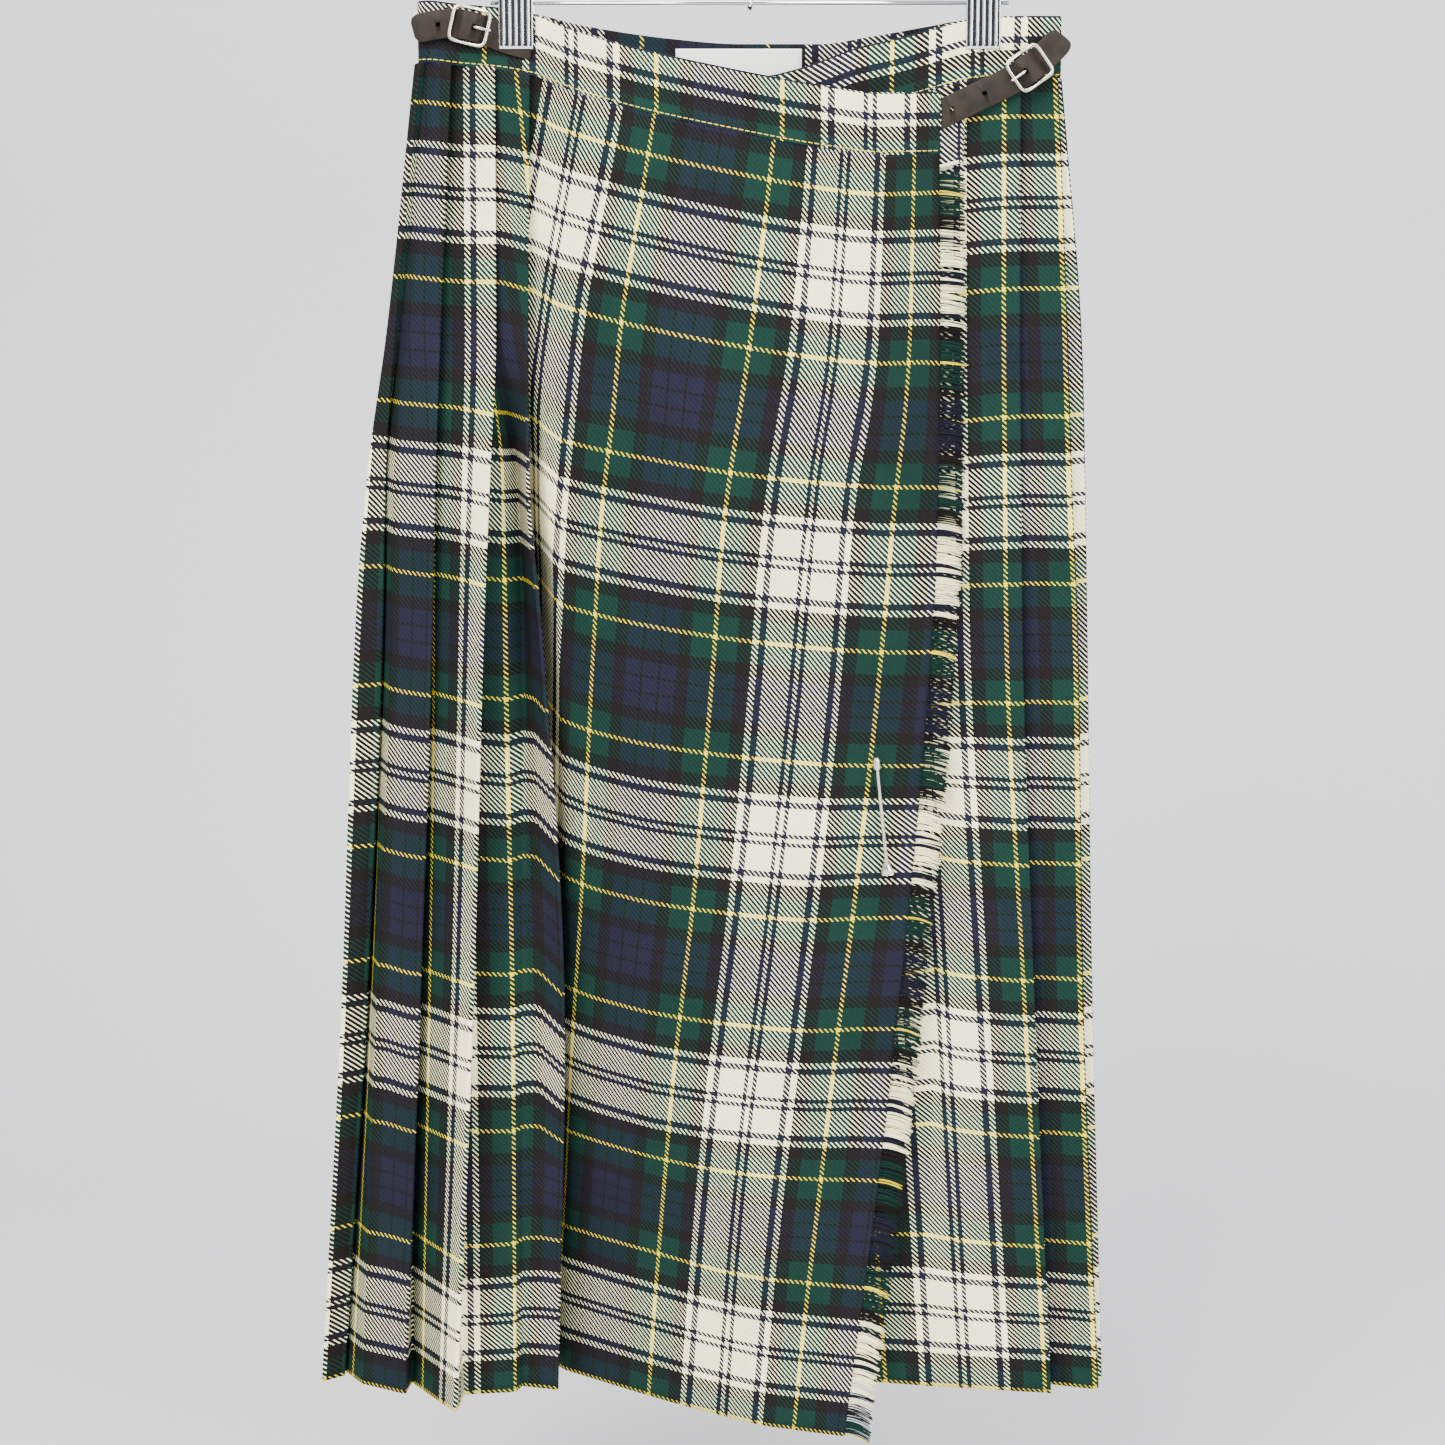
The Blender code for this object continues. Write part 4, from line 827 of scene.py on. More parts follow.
# %% Strands
def strands(name, routes, radii, finish, sides=3, weft=None):
    """Thin bodies along `routes` (strands x points x 3, in mm): each point gets a polygon of radius
    `radii`, square to the strand, and the two ends are closed.  `weft` gives each strand's colour."""
    count, steps = routes.shape[:2]
    run = unit(np.gradient(routes, axis=1))
    helper = np.where(np.abs(run[:, :, 2:]) > 0.8, (1.0, 0.0, 0.0), (0.0, 0.0, 1.0))
    first = unit(np.cross(run, helper))
    second = np.cross(run, first)
    turn = 2 * math.pi * np.arange(sides) / sides
    size = np.broadcast_to(np.asarray(radii, float), (count, steps))[:, :, None, None]
    points = routes[:, :, None] + size * (first[:, :, None] * np.cos(turn)[None, None, :, None]
                                          + second[:, :, None] * np.sin(turn)[None, None, :, None])
    number = np.arange(count * steps * sides).reshape(count, steps, sides)
    after = np.roll(number, -1, axis=2)
    walls = np.stack([number[:, :-1], after[:, :-1], after[:, 1:], number[:, 1:]], -1).reshape(-1, 4)
    ends = np.concatenate([number[:, 0, ::-1], number[:, -1]])
    mesh = bpy.data.meshes.new(name)
    mesh.from_pydata((points.reshape(-1, 3) * MM).tolist(), [], walls.tolist() + ends.tolist())
    if weft is not None:
        layer = mesh.uv_layers.new(name="threads")
        loops = np.empty(len(mesh.loops), np.int32)
        mesh.loops.foreach_get("vertex_index", loops)
        pair = np.stack([np.zeros(count), weft], 1)[loops // (steps * sides)]
        layer.data.foreach_set("uv", pair.reshape(-1).astype(np.float32))
    mesh.shade_smooth()
    mesh.materials.append(finish)
    return add_object(name, mesh)


STITCH_SINK, STITCH_LIFT = 0.35, 0.25         # mm below the cloth's face at the ends, and above it between


def stitch_routes(points, outward, length, gap):
    """Stitches of `length` mm along a line of points, with `gap` mm between two: each rises from the
    cloth, lies on it and dips back in."""
    run = distances(points)
    starts = np.arange(gap, run[-1] - length, length + gap)
    share = np.array([0, 0.12, 0.5, 0.88, 1])
    off = np.array([-STITCH_SINK, STITCH_LIFT, STITCH_LIFT * 1.3, STITCH_LIFT, -STITCH_SINK])
    at = starts[:, None] + share * length
    return points_at(at, run, points) + points_at(at, run, outward) * off[None, :, None]


def thread_material(name, colour):
    """Spun sewing thread: its many fine fibres scatter the light, so it is nearly matt."""
    return new_material(name, colour, 0.75)[0]


# %% Topstitching of the band
STITCH_DEPTH = 31.6                           # mm below the band's top edge
STITCH_LENGTH, STITCH_GAP, STITCH_RADIUS = 2.4, 1.1, 0.3
yellow_thread = thread_material("mercerised_cotton_thread_yellow", "#D3B742")
line, inner = (band_surface(*band, np.array([STITCH_DEPTH]), np.array([off]))[0]
               for off in (BAND_WALL / 2, -BAND_WALL / 2))
stitches = stitch_routes(line, (line - inner) / BAND_WALL, STITCH_LENGTH, STITCH_GAP)
topstitch = strands("band_topstitch", stitches, STITCH_RADIUS, yellow_thread, sides=5)
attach(topstitch, "root")
print("topstitches", len(stitches))

# %% Fringe of the over apron
FRINGE_LENGTH = 13.9                          # mm, before each strand's own share of chance
FRINGE_FROM = 8.0                             # mm below the seam, where the sewn tab ends
YARN_SPACING, YARN_RADIUS = 0.38, 0.4
CLUMP = 3.4                                   # mm of edge whose strands hang together
DROOP_TOP, DROOP_MORE = 1.2, 4.2              # a strand's fall at the top, and how much more at the hem
GATHER = 0.22                                 # share of the way that a tip leans to its clump's middle

rng = np.random.default_rng(7)
edge = cloth[:, -1].copy()
edge_way = unit((cloth[:, -1] - cloth[:, -2]) * (1, 0.15, 0))
edge_run = distances(edge)
strand_count = int(edge_run[-1] / YARN_SPACING)
spot = np.sort(rng.uniform(FRINGE_FROM, edge_run[-1] - 0.5, strand_count))
root, way = points_at(spot, edge_run, edge), points_at(spot, edge_run, edge_way)
clump = np.floor(spot / CLUMP)
clump_reach = rng.normal(0, 0.5, int(clump.max()) + 1)[clump.astype(int)]
clump_droop = rng.uniform(-0.5, 0.9, int(clump.max()) + 1)[clump.astype(int)]
reach = FRINGE_LENGTH + clump_reach + rng.normal(0, 0.55, strand_count)
droop = (DROOP_TOP + DROOP_MORE * spot / edge_run[-1] + clump_droop
         + rng.normal(0, 0.45, strand_count))
gather = ((clump + 0.5) * CLUMP - spot) * GATHER
share = np.linspace(0, 1, 6)
forth = reach[:, None] * share
fall = droop[:, None] * share**1.7 + gather[:, None] * share**2
sway = rng.normal(0, 0.28, (strand_count, 1)) + rng.normal(0, 0.35, (strand_count, 1)) * share
routes = root[:, None] + way[:, None] * forth[:, :, None] + np.stack([0 * fall, sway, -fall], -1)
weft_here = np.interp(spot, edge_run, threads[:, -1, 1])
fringe = strands("apron_fringe", routes, YARN_RADIUS * (1 - 0.35 * share), yarn, weft=weft_here)
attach(fringe, "root")
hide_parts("fringe")
print("fringe strands", strand_count)

# %% The tab of cloth at the band's lapped end
TAB, TAB_TOP, TAB_FEET, TAB_WALL = (104.3, 117.5), -150.0, (-184.3, -181.0), 1.4
TAB_FRONT = (-11.7, -11.3)                    # Y of its front at the two edges
TAB_WARP_AT, TAB_WARP = (104.3, 114, 115.6, 117.5), (-22.5, -6, -2, 2)        # in threads
TAB_WEFT = (102, 158)                         # at its top and foot
CORD_RADIUS, CORD_POINTS = 1.0, 13            # the cord along its foot stops short of the right edge

x = np.linspace(*TAB, 16)
tab_y = np.interp(x, TAB, TAB_FRONT) + TAB_WALL / 2
share = np.linspace(0, 1, 24)[:, None]
z = TAB_TOP + (np.interp(x, TAB, TAB_FEET) - TAB_TOP) * share
tab_points = np.dstack(np.broadcast_arrays(x, tab_y, z))
tab_threads = np.dstack(np.broadcast_arrays(np.interp(x, TAB_WARP_AT, TAB_WARP),
                                            TAB_WEFT[0] + (TAB_WEFT[1] - TAB_WEFT[0]) * share))
tab = grid_object("band_tab_cloth", tab_points, wool, tab_threads)
thicken(tab, TAB_WALL)
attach(tab, "root")
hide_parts("band_tab")
foot_line = tab_points[-1, :CORD_POINTS] - (0, TAB_WALL / 2 + 0.2, -CORD_RADIUS)
cream_cord = thread_material("selvage_cord_cream", "#E4DCC0")
selvage = strands("band_tab_selvage", foot_line[None], CORD_RADIUS, cream_cord, sides=8)
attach(selvage, "root")
print("tab", round(TAB[1] - TAB[0], 1), "mm wide")

# %% [markdown]
# ## Leather straps and their tabs
#
# Each side is drawn in by a strap of bridle leather through a centre-bar buckle.  The leather is dyed
# through and pressed smooth, so its broad faces shine a little and its cut edges are dull.  A strap is a
# rounded rectangle carried along the route on which it rises over the buckle's middle bar.  The punched
# holes are cut through, not painted.

# %% Profiles and routes
OUT = np.array([0.0, -1.0, 0.0])              # away from the cloth, towards the camera


def spline(points, steps):
    """A smooth curve through the points (Catmull-Rom): each stretch is the cubic whose slope at a point
    is half the way between that point's two neighbours."""
    points = np.asarray(points, float)
    padded = np.vstack([2 * points[:1] - points[1:2], points, 2 * points[-1:] - points[-2:-1]])
    at = np.linspace(0, len(points) - 1 - 1e-9, steps)
    k = at.astype(int)
    t = (at - k)[:, None]
    before, start, stop, after = (padded[k + i] for i in range(4))
    return 0.5 * (2 * start + (stop - before) * t + (2 * before - 5 * start + 4 * stop - after) * t**2
                  + (3 * start - before - 3 * stop + after) * t**3)


def rounded_box(half_wide, half_deep, radius):
    """Anticlockwise round a rectangle with round corners, four points to each."""
    turn = np.linspace(0, math.pi / 2, 4)
    ring = []
    for quarter, (sx, sy) in enumerate(((1, 1), (-1, 1), (-1, -1), (1, -1))):
        angle = turn + quarter * math.pi / 2
        ring.append(np.stack([sx * (half_wide - radius) + radius * np.cos(angle),
                              sy * (half_deep - radius) + radius * np.sin(angle)], 1))
    return np.vstack(ring)


def carried(name, centres, first, second, rings, finish, closed=False):
    """A body whose rings lie at `centres`: a ring's two numbers run along `first` and `second`.  One
    ring or one direction serves for all."""
    rings = np.broadcast_to(rings, (len(centres), *rings.shape[-2:]))
    first, second = (np.broadcast_to(axis, centres.shape)[:, None] for axis in (first, second))
    points = (centres[:, None] + first * rings[:, :, :1] + second * rings[:, :, 1:]).transpose(1, 0, 2)
    if closed:
        return grid_object(name, points, finish, round_rows=True, round_columns=True)
    return grid_with_ends(name, points, finish)


def wire(name, centres, radius, finish, sides=16, closed=False):
    """Round wire: a circle carried along a route without twisting; `radius` may change along it."""
    centres = np.asarray(centres, float)
    if closed:
        run = np.roll(centres, -1, 0) - np.roll(centres, 1, 0)
    else:
        run = np.gradient(centres, axis=0)
    run = unit(run)
    first = np.empty_like(run)
    first[0] = np.eye(3)[np.argmin(np.abs(run[0]))]
    for i in range(len(run)):
        side = first[max(i - 1, 0)]
        first[i] = unit(side - run[i] * np.dot(side, run[i]))
    turn = -2 * math.pi * np.arange(sides) / sides
    circle = np.stack([np.cos(turn), np.sin(turn)], 1)
    rings = circle[None] * np.broadcast_to(np.asarray(radius, float), len(centres))[:, None, None]
    return carried(name, centres, first, np.cross(run, first), rings, finish, closed)


def drilled(piece, drills):
    """Cuts the drills out of a piece with exact Booleans, applies all its modifiers and removes the
    drills."""
    for drill in drills:
        change = piece.modifiers.new("hole", "BOOLEAN")
        change.operation = "DIFFERENCE"
        change.solver = "EXACT"
        change.object = drill
    graph = bpy.context.evaluated_depsgraph_get()
    piece.data = bpy.data.meshes.new_from_object(piece.evaluated_get(graph))
    piece.modifiers.clear()
    for drill in drills:
        bpy.data.objects.remove(drill)


def joined(name, bodies):
    """Several bodies as one object; they keep the first one's material."""
    whole = bmesh.new()
    for body in bodies:
        whole.from_mesh(body.data)
    mesh = bpy.data.meshes.new(name)
    whole.to_mesh(mesh)
    whole.free()
    mesh.materials.append(bodies[0].data.materials[0])
    for body in bodies:
        bpy.data.objects.remove(body)
    return add_object(name, mesh)


# %% Strap tables: X, Z and how far the strap's middle stands off the wall behind it
STRAP_WIDTH, STRAP_WALL = 15.6, 2.0
RIGHT_STRAP = ((104.8, -155, 1.4), (117, -149.3, 1.4), (128.4, -143.9, 1.5), (138, -139.3, 2.2),
               (145.6, -135.1, 4.2), (149, -132.7, 6.8), (152.4, -130.3, 7.2), (155.8, -127.9, 6.8),
               (159.2, -125.3, 4.3), (165, -120.2, 3.4), (169, -116, 3.3), (171.6, -112.8, 3.2))
LEFT_STRAP = ((-119.2, -117.9, 1.3), (-126, -116.6, 1.3), (-133, -114.6, 1.3), (-141.4, -111.4, 1.3),
              (-145.2, -110, 4.2), (-149.2, -108.7, 6.8), (-153.1, -107.6, 7.2), (-157.1, -106.8, 6.8),
              (-161.2, -106.3, 4.3), (-169, -106.7, 3.4), (-177, -108, 3.3), (-184.4, -109.9, 3.2))
RIGHT_WALL = ((105, 117, 128, 146, 153, 160, 166, 172),          # X, then Y of the wall behind
              (-11.6, -11.2, -10.4, -9.8, -9, -6, -2.8, -2.4))
LEFT_WALL = ((-185, -181, -160, -150, -139, -119), (-2.2, -3, -3.2, -2.9, -2.15, -2.15))
RIGHT_HOLES = ((110.5, -152.2), (128.4, -143.7))
LEFT_HOLES = ((-170.5, -106.8),)
HOLE_RADIUS, PRONG_HOLE_RADIUS, PRONG_HOLE_AT = 1.3, 1.75, 2.9
TIP_ROUND = 6.0                               # mm at a strap's tip over which it rounds off
SQUARE_END = 12.0                             # mm of the right strap's lower end that turns upright
BUCKLE_ROW = 6                                # the row of each table that lies over the buckle's bar
KEEPER_WALL, KEEPER_SPAN = 1.4, (-3.5, 15)


def leather_material(name, colour):
    """Bridle leather: vegetable-tanned hide, dyed, waxed and rolled.  It keeps a fine pore grain of about
    0.6 mm, and its wax gives a soft broad shine that wears off along the bends."""
    material, tree, shader = new_material(name)
    shader.inputs["Specular IOR Level"].default_value = 0.2
    pores = surface_texture(tree, "ShaderNodeTexVoronoi", Scale=1600.0)
    wear = surface_texture(tree, "ShaderNodeTexNoise", Scale=130.0, Detail=5.0)
    tone = add_node(tree, "ShaderNodeValToRGB", Fac=wear.outputs["Fac"])
    tone.color_ramp.elements[0].position, tone.color_ramp.elements[1].position = 0.35, 0.75
    tone.color_ramp.elements[0].color = linear(colour)
    tone.color_ramp.elements[1].color = linear("#2B2119")
    tree.links.new(tone.outputs["Color"], shader.inputs["Base Color"])
    rough = add_node(tree, "ShaderNodeMapRange", inputs={"To Min": 0.48, "To Max": 0.7},
                     Value=wear.outputs["Fac"])
    tree.links.new(rough.outputs[0], shader.inputs["Roughness"])
    add_bump(tree, shader, pores.outputs["Distance"], 0.25, 0.0002)
    return material


leather = leather_material("bridle_leather_dark_brown", "#16100B")


# %% Build the straps
def wall_behind(x, right):
    """Y of the face that a strap lies on."""
    return np.interp(x, *(RIGHT_WALL if right else LEFT_WALL))


def build_strap(side, table, right, holes):
    """The strap of one side; returns its buckle's place and the strap's way there, in X and Z."""
    rows = np.array(table, float)
    fine = spline(rows, 110)
    way = unit(np.gradient(fine[:, :2], axis=0))
    run = distances(fine[:, :2])
    from_tip = np.clip((run[-1] - run) / TIP_ROUND, 0, 1)
    half = STRAP_WIDTH / 4 * (1 + np.sqrt(1 - (1 - from_tip)**2))
    across = np.stack([-way[:, 1], np.zeros(len(fine)), way[:, 0]], 1)
    if right:
        upright = np.array([0, 0, 1]) / way[0, 0]
        blend = np.clip(1 - run / SQUARE_END, 0, 1)[:, None]
        across = across * (1 - blend) + upright * blend
    centres = np.stack([fine[:, 0], wall_behind(fine[:, 0], right) - fine[:, 2], fine[:, 1]], 1)
    ring = rounded_box(1, STRAP_WALL / 2, 0.5)
    rings = np.repeat(ring[None], len(fine), axis=0)
    rings[:, :, 0] = np.sign(ring[:, 0]) * (half[:, None] - (1 - np.abs(ring[:, 0])))
    strap = carried(f"strap_{side}_leather", centres, across, OUT, rings, leather)
    row, way_here = rows[BUCKLE_ROW], unit(np.gradient(rows[:, :2], axis=0)[BUCKLE_ROW])
    spots = [(row[0] - way_here[0] * PRONG_HOLE_AT, row[1] - way_here[1] * PRONG_HOLE_AT), *holes]
    drills = []
    for n, (x, z) in enumerate(spots):
        y = float(wall_behind(x, right))
        size = HOLE_RADIUS if n else PRONG_HOLE_RADIUS
        drills.append(wire(f"drill_{n}", ((x, y - 14, z), (x, y + 6, z)), size, leather, 24))
    drilled(strap, drills)
    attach(strap, "root")
    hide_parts(f"strap_{side}")
    return row, way_here


def build_keeper(side, row, way, right):
    """The leather tab sewn to the band, which carries the buckle's middle bar."""
    u = np.linspace(*KEEPER_SPAN, 24)
    x, z = row[0] + way[0] * u, row[1] + way[1] * u
    centres = np.stack([x, wall_behind(x, right) - 0.3 - KEEPER_WALL / 2, z], 1)
    across = np.array([-way[1], 0, way[0]])
    ring = rounded_box(STRAP_WIDTH / 2 - 1, KEEPER_WALL / 2, 0.4)
    keeper = carried(f"keeper_{side}_leather", centres, across, OUT, ring, leather)
    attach(keeper, "root")
    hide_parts(f"keeper_{side}")


buckle_places = {}
for side, table, right, holes in (("right", RIGHT_STRAP, True, RIGHT_HOLES),
                                  ("left", LEFT_STRAP, False, LEFT_HOLES)):
    buckle_places[side] = (*build_strap(side, table, right, holes), right)
    build_keeper(side, *buckle_places[side])
print("straps", list(buckle_places))

# %% [markdown]
# ## Buckles
#
# The buckles are cast brass with a nickel plate: a rounded square of wire that arches over the strap, a
# middle bar under it, and a prong bent round that bar.  All are round wire carried along a route.

# %% Metal finishes
def plated(name, colour, rough, scratch):
    """A plated metal: all its colour is in its reflection.  Handling leaves fine rubs that widen it."""
    material, tree, shader = new_material(name, colour)
    shader.inputs["Metallic"].default_value = 1.0
    rubs = surface_texture(tree, "ShaderNodeTexNoise", Scale=420.0, Detail=4.0)
    spread = add_node(tree, "ShaderNodeMapRange", inputs={"To Min": rough, "To Max": rough + scratch},
                      Value=rubs.outputs["Fac"])
    tree.links.new(spread.outputs[0], shader.inputs["Roughness"])
    return material


nickel = plated("nickel_plated_brass", "#D9D2C4", 0.16, 0.16)
chrome = plated("chromed_steel", "#E3E5E8", 0.06, 0.08)
spring_steel = plated("spring_steel_oiled", "#77767A", 0.3, 0.2)

BUCKLE_HALF_LENGTH, BUCKLE_HALF_WIDTH = 10, 9.45
BUCKLE_WIRE, BUCKLE_CORNER = 1.1, 0.32
CENTRE_BAR_RADIUS, OUTER_BAR_OFF, CENTRE_BAR_OFF = 0.95, 7.05, 4.95
BUCKLE_ARCH = 7.0      # mm to each side of the middle bar over which the frame rises to its full height
PRONG = ((2.0, 4.95), (1.45, 3.5), (0, 2.9), (-1.45, 3.5), (-2.2, 5.0), (-2.8, 8.0), (-4.6, 9.3),
         (-8, 9.35), (-12, 9.25))


# %% Build the buckles
def build_buckle(side, row, way, right):
    """Frame, middle bar and prong; u runs along the strap, w across it and `off` away from the wall."""
    along_way, across = np.array([way[0], 0, way[1]]), np.array([-way[1], 0, way[0]])
    origin = np.array([row[0], float(wall_behind(row[0], right)), row[1]])

    def place(u, w, off):
        return (origin + along_way * np.asarray(u)[..., None] + across * np.asarray(w)[..., None]
                + OUT * np.asarray(off)[..., None])

    turn = 2 * math.pi * (np.arange(96) + 0.5) / 96
    u = np.sign(np.cos(turn)) * np.abs(np.cos(turn))**BUCKLE_CORNER * BUCKLE_HALF_LENGTH
    w = np.sign(np.sin(turn)) * np.abs(np.sin(turn))**BUCKLE_CORNER * BUCKLE_HALF_WIDTH
    loop = np.vstack([np.stack([u, w], 1), [[u[0], w[0]]]])
    even = np.linspace(0, distances(loop)[-1], 81)[:-1]
    u, w = points_at(even, distances(loop), loop).T
    lift = CENTRE_BAR_OFF + (OUTER_BAR_OFF - CENTRE_BAR_OFF) * np.minimum(1, np.abs(u) / BUCKLE_ARCH)**0.8
    frame_wire = wire("frame", place(u, w, lift), BUCKLE_WIRE, nickel, 14, closed=True)
    bar = wire("bar", place(np.zeros(2), np.array([-1, 1]) * BUCKLE_HALF_WIDTH, np.full(2, CENTRE_BAR_OFF)),
               CENTRE_BAR_RADIUS, nickel, 14)
    buckle = joined(f"buckle_{side}_nickel", [frame_wire, bar])
    route = spline(PRONG, 40)
    thin = np.interp(np.linspace(0, 1, 40), (0, 0.8, 1), (0.8, 0.8, 0.55))
    prong = wire(f"buckle_{side}_prong_nickel", place(route[:, 0], 0 * route[:, 0], route[:, 1]), thin,
                 nickel, 12)
    for piece, node in ((buckle, f"buckle_{side}"), (prong, f"buckle_{side}_prong")):
        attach(piece, "root")
        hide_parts(node)


for side, (row, way, right) in buckle_places.items():
    build_buckle(side, row, way, right)

# %% [markdown]
# ## Kilt pin
#
# The pin keeps the over apron from blowing open.  It is one nickel-plated wire: down the front, round a
# small coil, then back up behind the cloth to a clasp, so it pierces the apron twice.

# %% Kilt pin
PIN_TOP, PIN_FOOT = (71.5, -512.0), (78.3, -575.0)
PIN_WIRE = 0.95
PIN_ROUTE = ((0, 4.2), (0.03, 4.9), (0.5, 4.4), (0.93, 4.8), (0.96, 4.7), (0.985, 4.3), (0.995, 3.5),
             (0.985, 2.7), (0.955, 2.3), (0.92, 1.9), (0.885, 0.6), (0.86, -1.4), (0.8, -2.4),
             (0.5, -2.5), (0.2, -2.4), (0.14, -1.4), (0.115, 0.6), (0.09, 2.2), (0.06, 2.6))
PIN_CAP_OFF = 3.6
# For the head and for the cap over the coil: shares of the pin's length, half widths and half depths
PIN_CAPS = (((-0.03, -0.015, 0.01, 0.028, 0.045, 0.07, 0.085), (0.9, 2.0, 2.3, 1.9, 2.3, 2.2, 1.3),
             (0.9, 1.7, 2.1, 1.8, 2.1, 1.9, 1.2)),
            ((0.94, 0.955, 0.98, 1.0, 1.03, 1.05, 1.06), (1.2, 1.9, 2.4, 2.9, 3.6, 4.0, 3.4),
             (1.1, 1.5, 1.9, 2.1, 2.2, 2.1, 1.6)))


def apron_y(x, z):
    """Y of the over apron's middle at x and z, read from the strip's grid."""
    apron = cloth[:, OVER_START:]
    row = int(np.argmin(np.abs(apron[:, -1, 2] - z)))
    return float(np.interp(x, apron[row, :, 0], apron[row, :, 1]))


def build_pin():
    """The wire, with a clasp head of two small lobes and a flared, ribbed cap over the coil."""
    top, foot = (np.array([x, apron_y(x, z), z]) for x, z in (PIN_TOP, PIN_FOOT))
    length = np.linalg.norm(foot - top)
    down = (foot - top) / length
    route = spline(PIN_ROUTE, 140)
    parts = [wire("bar", top + down * length * route[:, :1] + OUT * route[:, 1:], PIN_WIRE, nickel, 12)]
    turn = -2 * math.pi * np.arange(20) / 20
    for n, (shares, wide, deep) in enumerate(PIN_CAPS):
        ribs = 1 + 0.06 * n * np.cos(7 * turn)
        rings = np.stack([np.stack([np.cos(turn) * w * ribs, np.sin(turn) * d * ribs], 1)
                          for w, d in zip(wide, deep)])
        centres = np.stack([top + down * length * s + OUT * PIN_CAP_OFF for s in shares])
        parts.append(carried(f"cap_{n}", centres, np.cross(down, OUT), OUT, rings, nickel))
    pin = joined("kilt_pin_nickel", parts)
    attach(pin, "root")
    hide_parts("kilt_pin")


build_pin()

# %% [markdown]
# ## Label
#
# A plain woven tape is sewn inside the back of the band, with its ends turned under.  It is left blank.

# %% Label
LABEL = (-41.0, 29.0)
LABEL_TOP, LABEL_FOOT, LABEL_WALL = -119.2, -139.4, 0.8


def back_band_face(x, z):
    """Y of the front face of the back of the band at x and z."""
    rows = slice(RIGHT_SIDE * BAND_STEPS, LEFT_SIDE * BAND_STEPS + 1)
    order = np.argsort(band[0][rows])
    foot, top, low = (np.interp(x, band[0][rows][order], band[i][rows][order]) for i in (1, 2, 3))
    return top + (foot - top) * flare(low + BAND_HEIGHT - z) - BAND_WALL / 2


def tape_material(name, colour):
    """Taffeta-woven polyester tape: fine even ribs 0.4 mm apart and a slight sheen."""
    material, tree, shader = new_material(name, colour, 0.6)
    ribs = surface_texture(tree, "ShaderNodeTexWave", {"bands_direction": "Z"}, Scale=785.0)
    add_bump(tree, shader, ribs.outputs["Fac"], 0.3, 0.0001)
    return material


tape = tape_material("woven_polyester_tape", "#F1EFE8")
x, z = np.meshgrid(np.linspace(*LABEL, 40), np.linspace(LABEL_TOP, LABEL_FOOT, 12))
label_points = np.dstack([x, back_band_face(x, z) - 0.3 - LABEL_WALL / 2, z])
label = grid_object("label_tape", label_points, tape)
thicken(label, LABEL_WALL)
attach(label, "root")
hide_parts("label")
tape_thread = thread_material("polyester_thread_cream", "#DAD4C2")
rim = np.vstack([label_points[1, 1:-1], label_points[1:-1, -2], label_points[-2, 1:-1][::-1],
                 label_points[1:-1, 1][::-1]]) - (0, LABEL_WALL / 2, 0)
rim_stitches = stitch_routes(rim, np.broadcast_to(OUT, rim.shape), 1.8, 0.9)
label_stitch = strands("label_stitching", rim_stitches, 0.2, tape_thread, sides=4)
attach(label_stitch, "root")
print("label", LABEL[1] - LABEL[0], "mm long")

# %% [markdown]
# ## The clip hanger
#
# Two pressed-steel clips ride on a thin bar, and a wire hook closes its eye round the bar's middle.  A
# clip's front jaw is ribbed so that thin plate stays stiff, and ends in a plain lip that grips the band.

# %% Clips, bar and hook
CLIP_WIDTH = 18.5
CLIP_FOOT, CLIP_TOP, EAR_FOOT = -120.0, -77.0, -97.0
LEFT_JAW, RIGHT_JAW = 4.75, 2.45              # half the room between a clip's jaws
JAW_PLATE = 1.1
SPRING_HEIGHT, BAR_HEIGHT = -84.0, -95.0
BAR_RADIUS, BAR_HALF_LENGTH = 1.2, 142.0
HOOK_WIRE, HOOK_RADIUS = 1.6, 20.0
RUNNING_GAP = 0.3                             # mm between the bar and what turns on it
BORE_REACH = 12.0                             # mm of drill to each side of a clip's middle
RIBS, RIB_RISE = 5, 0.9
LIP, RIB_RUN_OUT = 2.6, 1.4                   # mm of plain lip below the ribs, and over which they rise
JAW_EDGE, JAW_SHOULDER = 0.35, -90.0          # mm broken off its edges, and Z of its second set of rows
SPRING_MARGIN = 1.8                           # mm from the spring's ends to the clip's sides


def plate(name, low, high):
    """A flat plate between two corners, with its edges broken by a small bevel."""
    low, high = np.array(low, float), np.array(high, float)
    ring = np.array([(low[0], low[1]), (high[0], low[1]), (high[0], high[1]), (low[0], high[1])])
    points = np.stack([np.column_stack([ring, np.full(4, z)]) for z in (high[2], low[2])], 1)
    made = grid_with_ends(name, points[::-1], chrome)
    made.data.shade_flat()
    change = made.modifiers.new("edges", "BEVEL")
    change.width = 0.25 * MM
    change.segments = 2
    return made


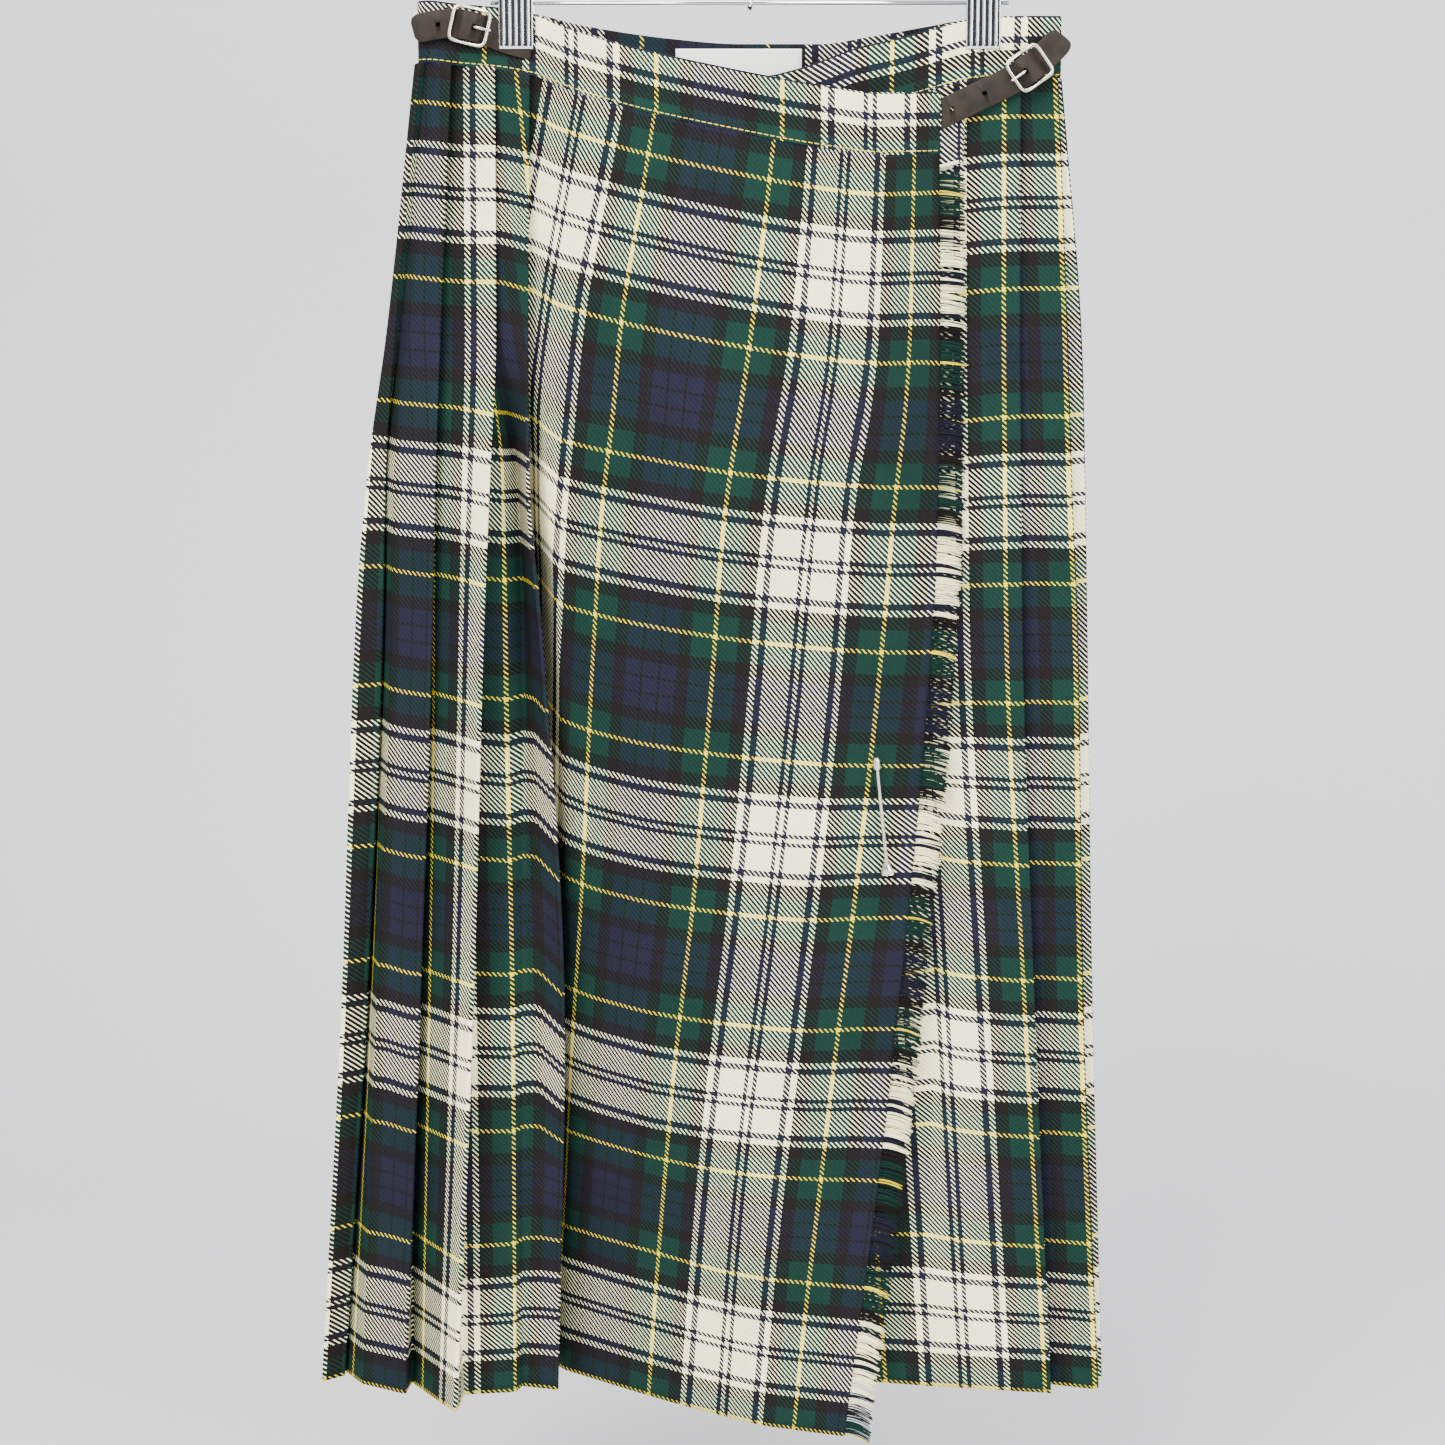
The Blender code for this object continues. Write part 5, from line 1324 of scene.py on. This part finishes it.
def front_jaw(side, x, face):
    """Across the jaw its front rises in five round ribs; down the jaw the ribs end above a plain lip."""
    half = CLIP_WIDTH / 2
    across = np.linspace(-half, half, 121)
    wave = np.cos(2 * math.pi * (across / (CLIP_WIDTH - 1.5) * RIBS))
    ribs = np.clip(2.2 * wave - 1.2, 0, 1)**0.6 * (np.abs(across) < half - 0.75)
    lip_top = CLIP_FOOT + LIP
    ribs_foot = lip_top + RIB_RUN_OUT
    ribs_top = CLIP_TOP - RIB_RUN_OUT
    heights = np.concatenate([[CLIP_TOP], np.linspace(CLIP_TOP - 0.4, ribs_top, 4),
                              np.linspace(JAW_SHOULDER, ribs_foot + 0.4, 4),
                              np.linspace(ribs_foot, lip_top, 6), [CLIP_FOOT + 0.4, CLIP_FOOT]])
    rise = np.interp(heights, (CLIP_FOOT, lip_top, ribs_foot, ribs_top, CLIP_TOP - 0.2, CLIP_TOP),
                     (0, 0, 1, 1, 0, 0))
    side_edge = np.interp(np.abs(across), (half - JAW_EDGE, half), (0, JAW_EDGE))
    foot_edge = np.interp(heights, (CLIP_FOOT, CLIP_FOOT + 0.4), (JAW_EDGE, 0))
    front = -face - JAW_PLATE - RIB_RISE * rise[:, None] * ribs + side_edge + foot_edge[:, None]
    points = np.dstack(np.broadcast_arrays(x + across, front, heights[:, None]))
    back = points.copy()
    back[:, :, 1] = -face
    shell = np.concatenate([points, back[::-1]])
    jaw = grid_with_ends(f"clip_{side}_front_jaw_chrome", shell, chrome)
    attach(jaw, "root")
    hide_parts(f"clip_{side}_front_jaw")


def build_clip(side, x, face):
    """The back jaw with its two ears bored for the bar, the front jaw, and the spring between them."""
    front_jaw(side, x, face)
    half = CLIP_WIDTH / 2
    back = plate("back", (x - half, face, CLIP_FOOT), (x + half, face + JAW_PLATE, CLIP_TOP))
    ears = [plate(f"ear_{n}", (start, -face + 0.3, EAR_FOOT), (start + 0.8, face + 0.5, CLIP_TOP - 2))
            for n, start in enumerate((x - half + 0.1, x + half - 0.9))]
    for ear in ears:
        ends = (x - BORE_REACH, 0, BAR_HEIGHT), (x + BORE_REACH, 0, BAR_HEIGHT)
        drilled(ear, [wire("bore", ends, BAR_RADIUS + RUNNING_GAP, chrome, 24)])
    drilled(back, [])
    jaw = joined(f"clip_{side}_back_jaw_chrome", [back, *ears])
    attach(jaw, "root")
    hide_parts(f"clip_{side}_back_jaw")
    radius = face - 0.4
    coil_wire = min(0.5, radius * 0.28)
    turns = int((CLIP_WIDTH - 2 * SPRING_MARGIN) / (2.1 * coil_wire))
    angle = np.linspace(0, 2 * math.pi * turns, 14 * turns)
    reach = half - SPRING_MARGIN
    coil = np.stack([np.linspace(x - reach, x + reach, len(angle)), (radius - coil_wire) * np.cos(angle),
                     SPRING_HEIGHT + (radius - coil_wire) * np.sin(angle)], 1)
    spring = wire(f"clip_{side}_spring_wire", coil, coil_wire, spring_steel, 8)
    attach(spring, "root")
    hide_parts(f"clip_{side}_spring")


build_clip("left", -CLIP_X, LEFT_JAW)
build_clip("right", CLIP_X, RIGHT_JAW)

bar = wire("hanger_bar_chrome", ((-BAR_HALF_LENGTH, 0, BAR_HEIGHT), (0, 0, BAR_HEIGHT),
                                 (BAR_HALF_LENGTH, 0, BAR_HEIGHT)), BAR_RADIUS, chrome, 20)
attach(bar, "root")
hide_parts("hanger_bar")

reach = HOOK_RADIUS + HOOK_WIRE
eye = BAR_RADIUS + RUNNING_GAP + HOOK_WIRE
bend = np.radians(np.linspace(200, -70, 70))
loop = np.radians(np.linspace(70, -250, 60))
hook_arc = np.stack([reach * np.cos(bend), 0 * bend, -HOOK_RADIUS + reach * np.sin(bend)], 1)
eye_arc = np.stack([0 * loop, -eye * np.cos(loop), BAR_HEIGHT + eye * np.sin(loop)], 1)
hook_foot = -HOOK_RADIUS - reach
shank = spline(np.vstack([hook_arc[-1], (2.0, 0, hook_foot - 6), (0, 0, hook_foot - 14),
                          (0, 0, BAR_HEIGHT + 12), eye_arc[0]]), 50)
hook = wire("hanger_hook_chrome", np.vstack([hook_arc, shank[1:-1], eye_arc]), HOOK_WIRE, chrome, 20)
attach(hook, "root")
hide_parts("hanger_hook")
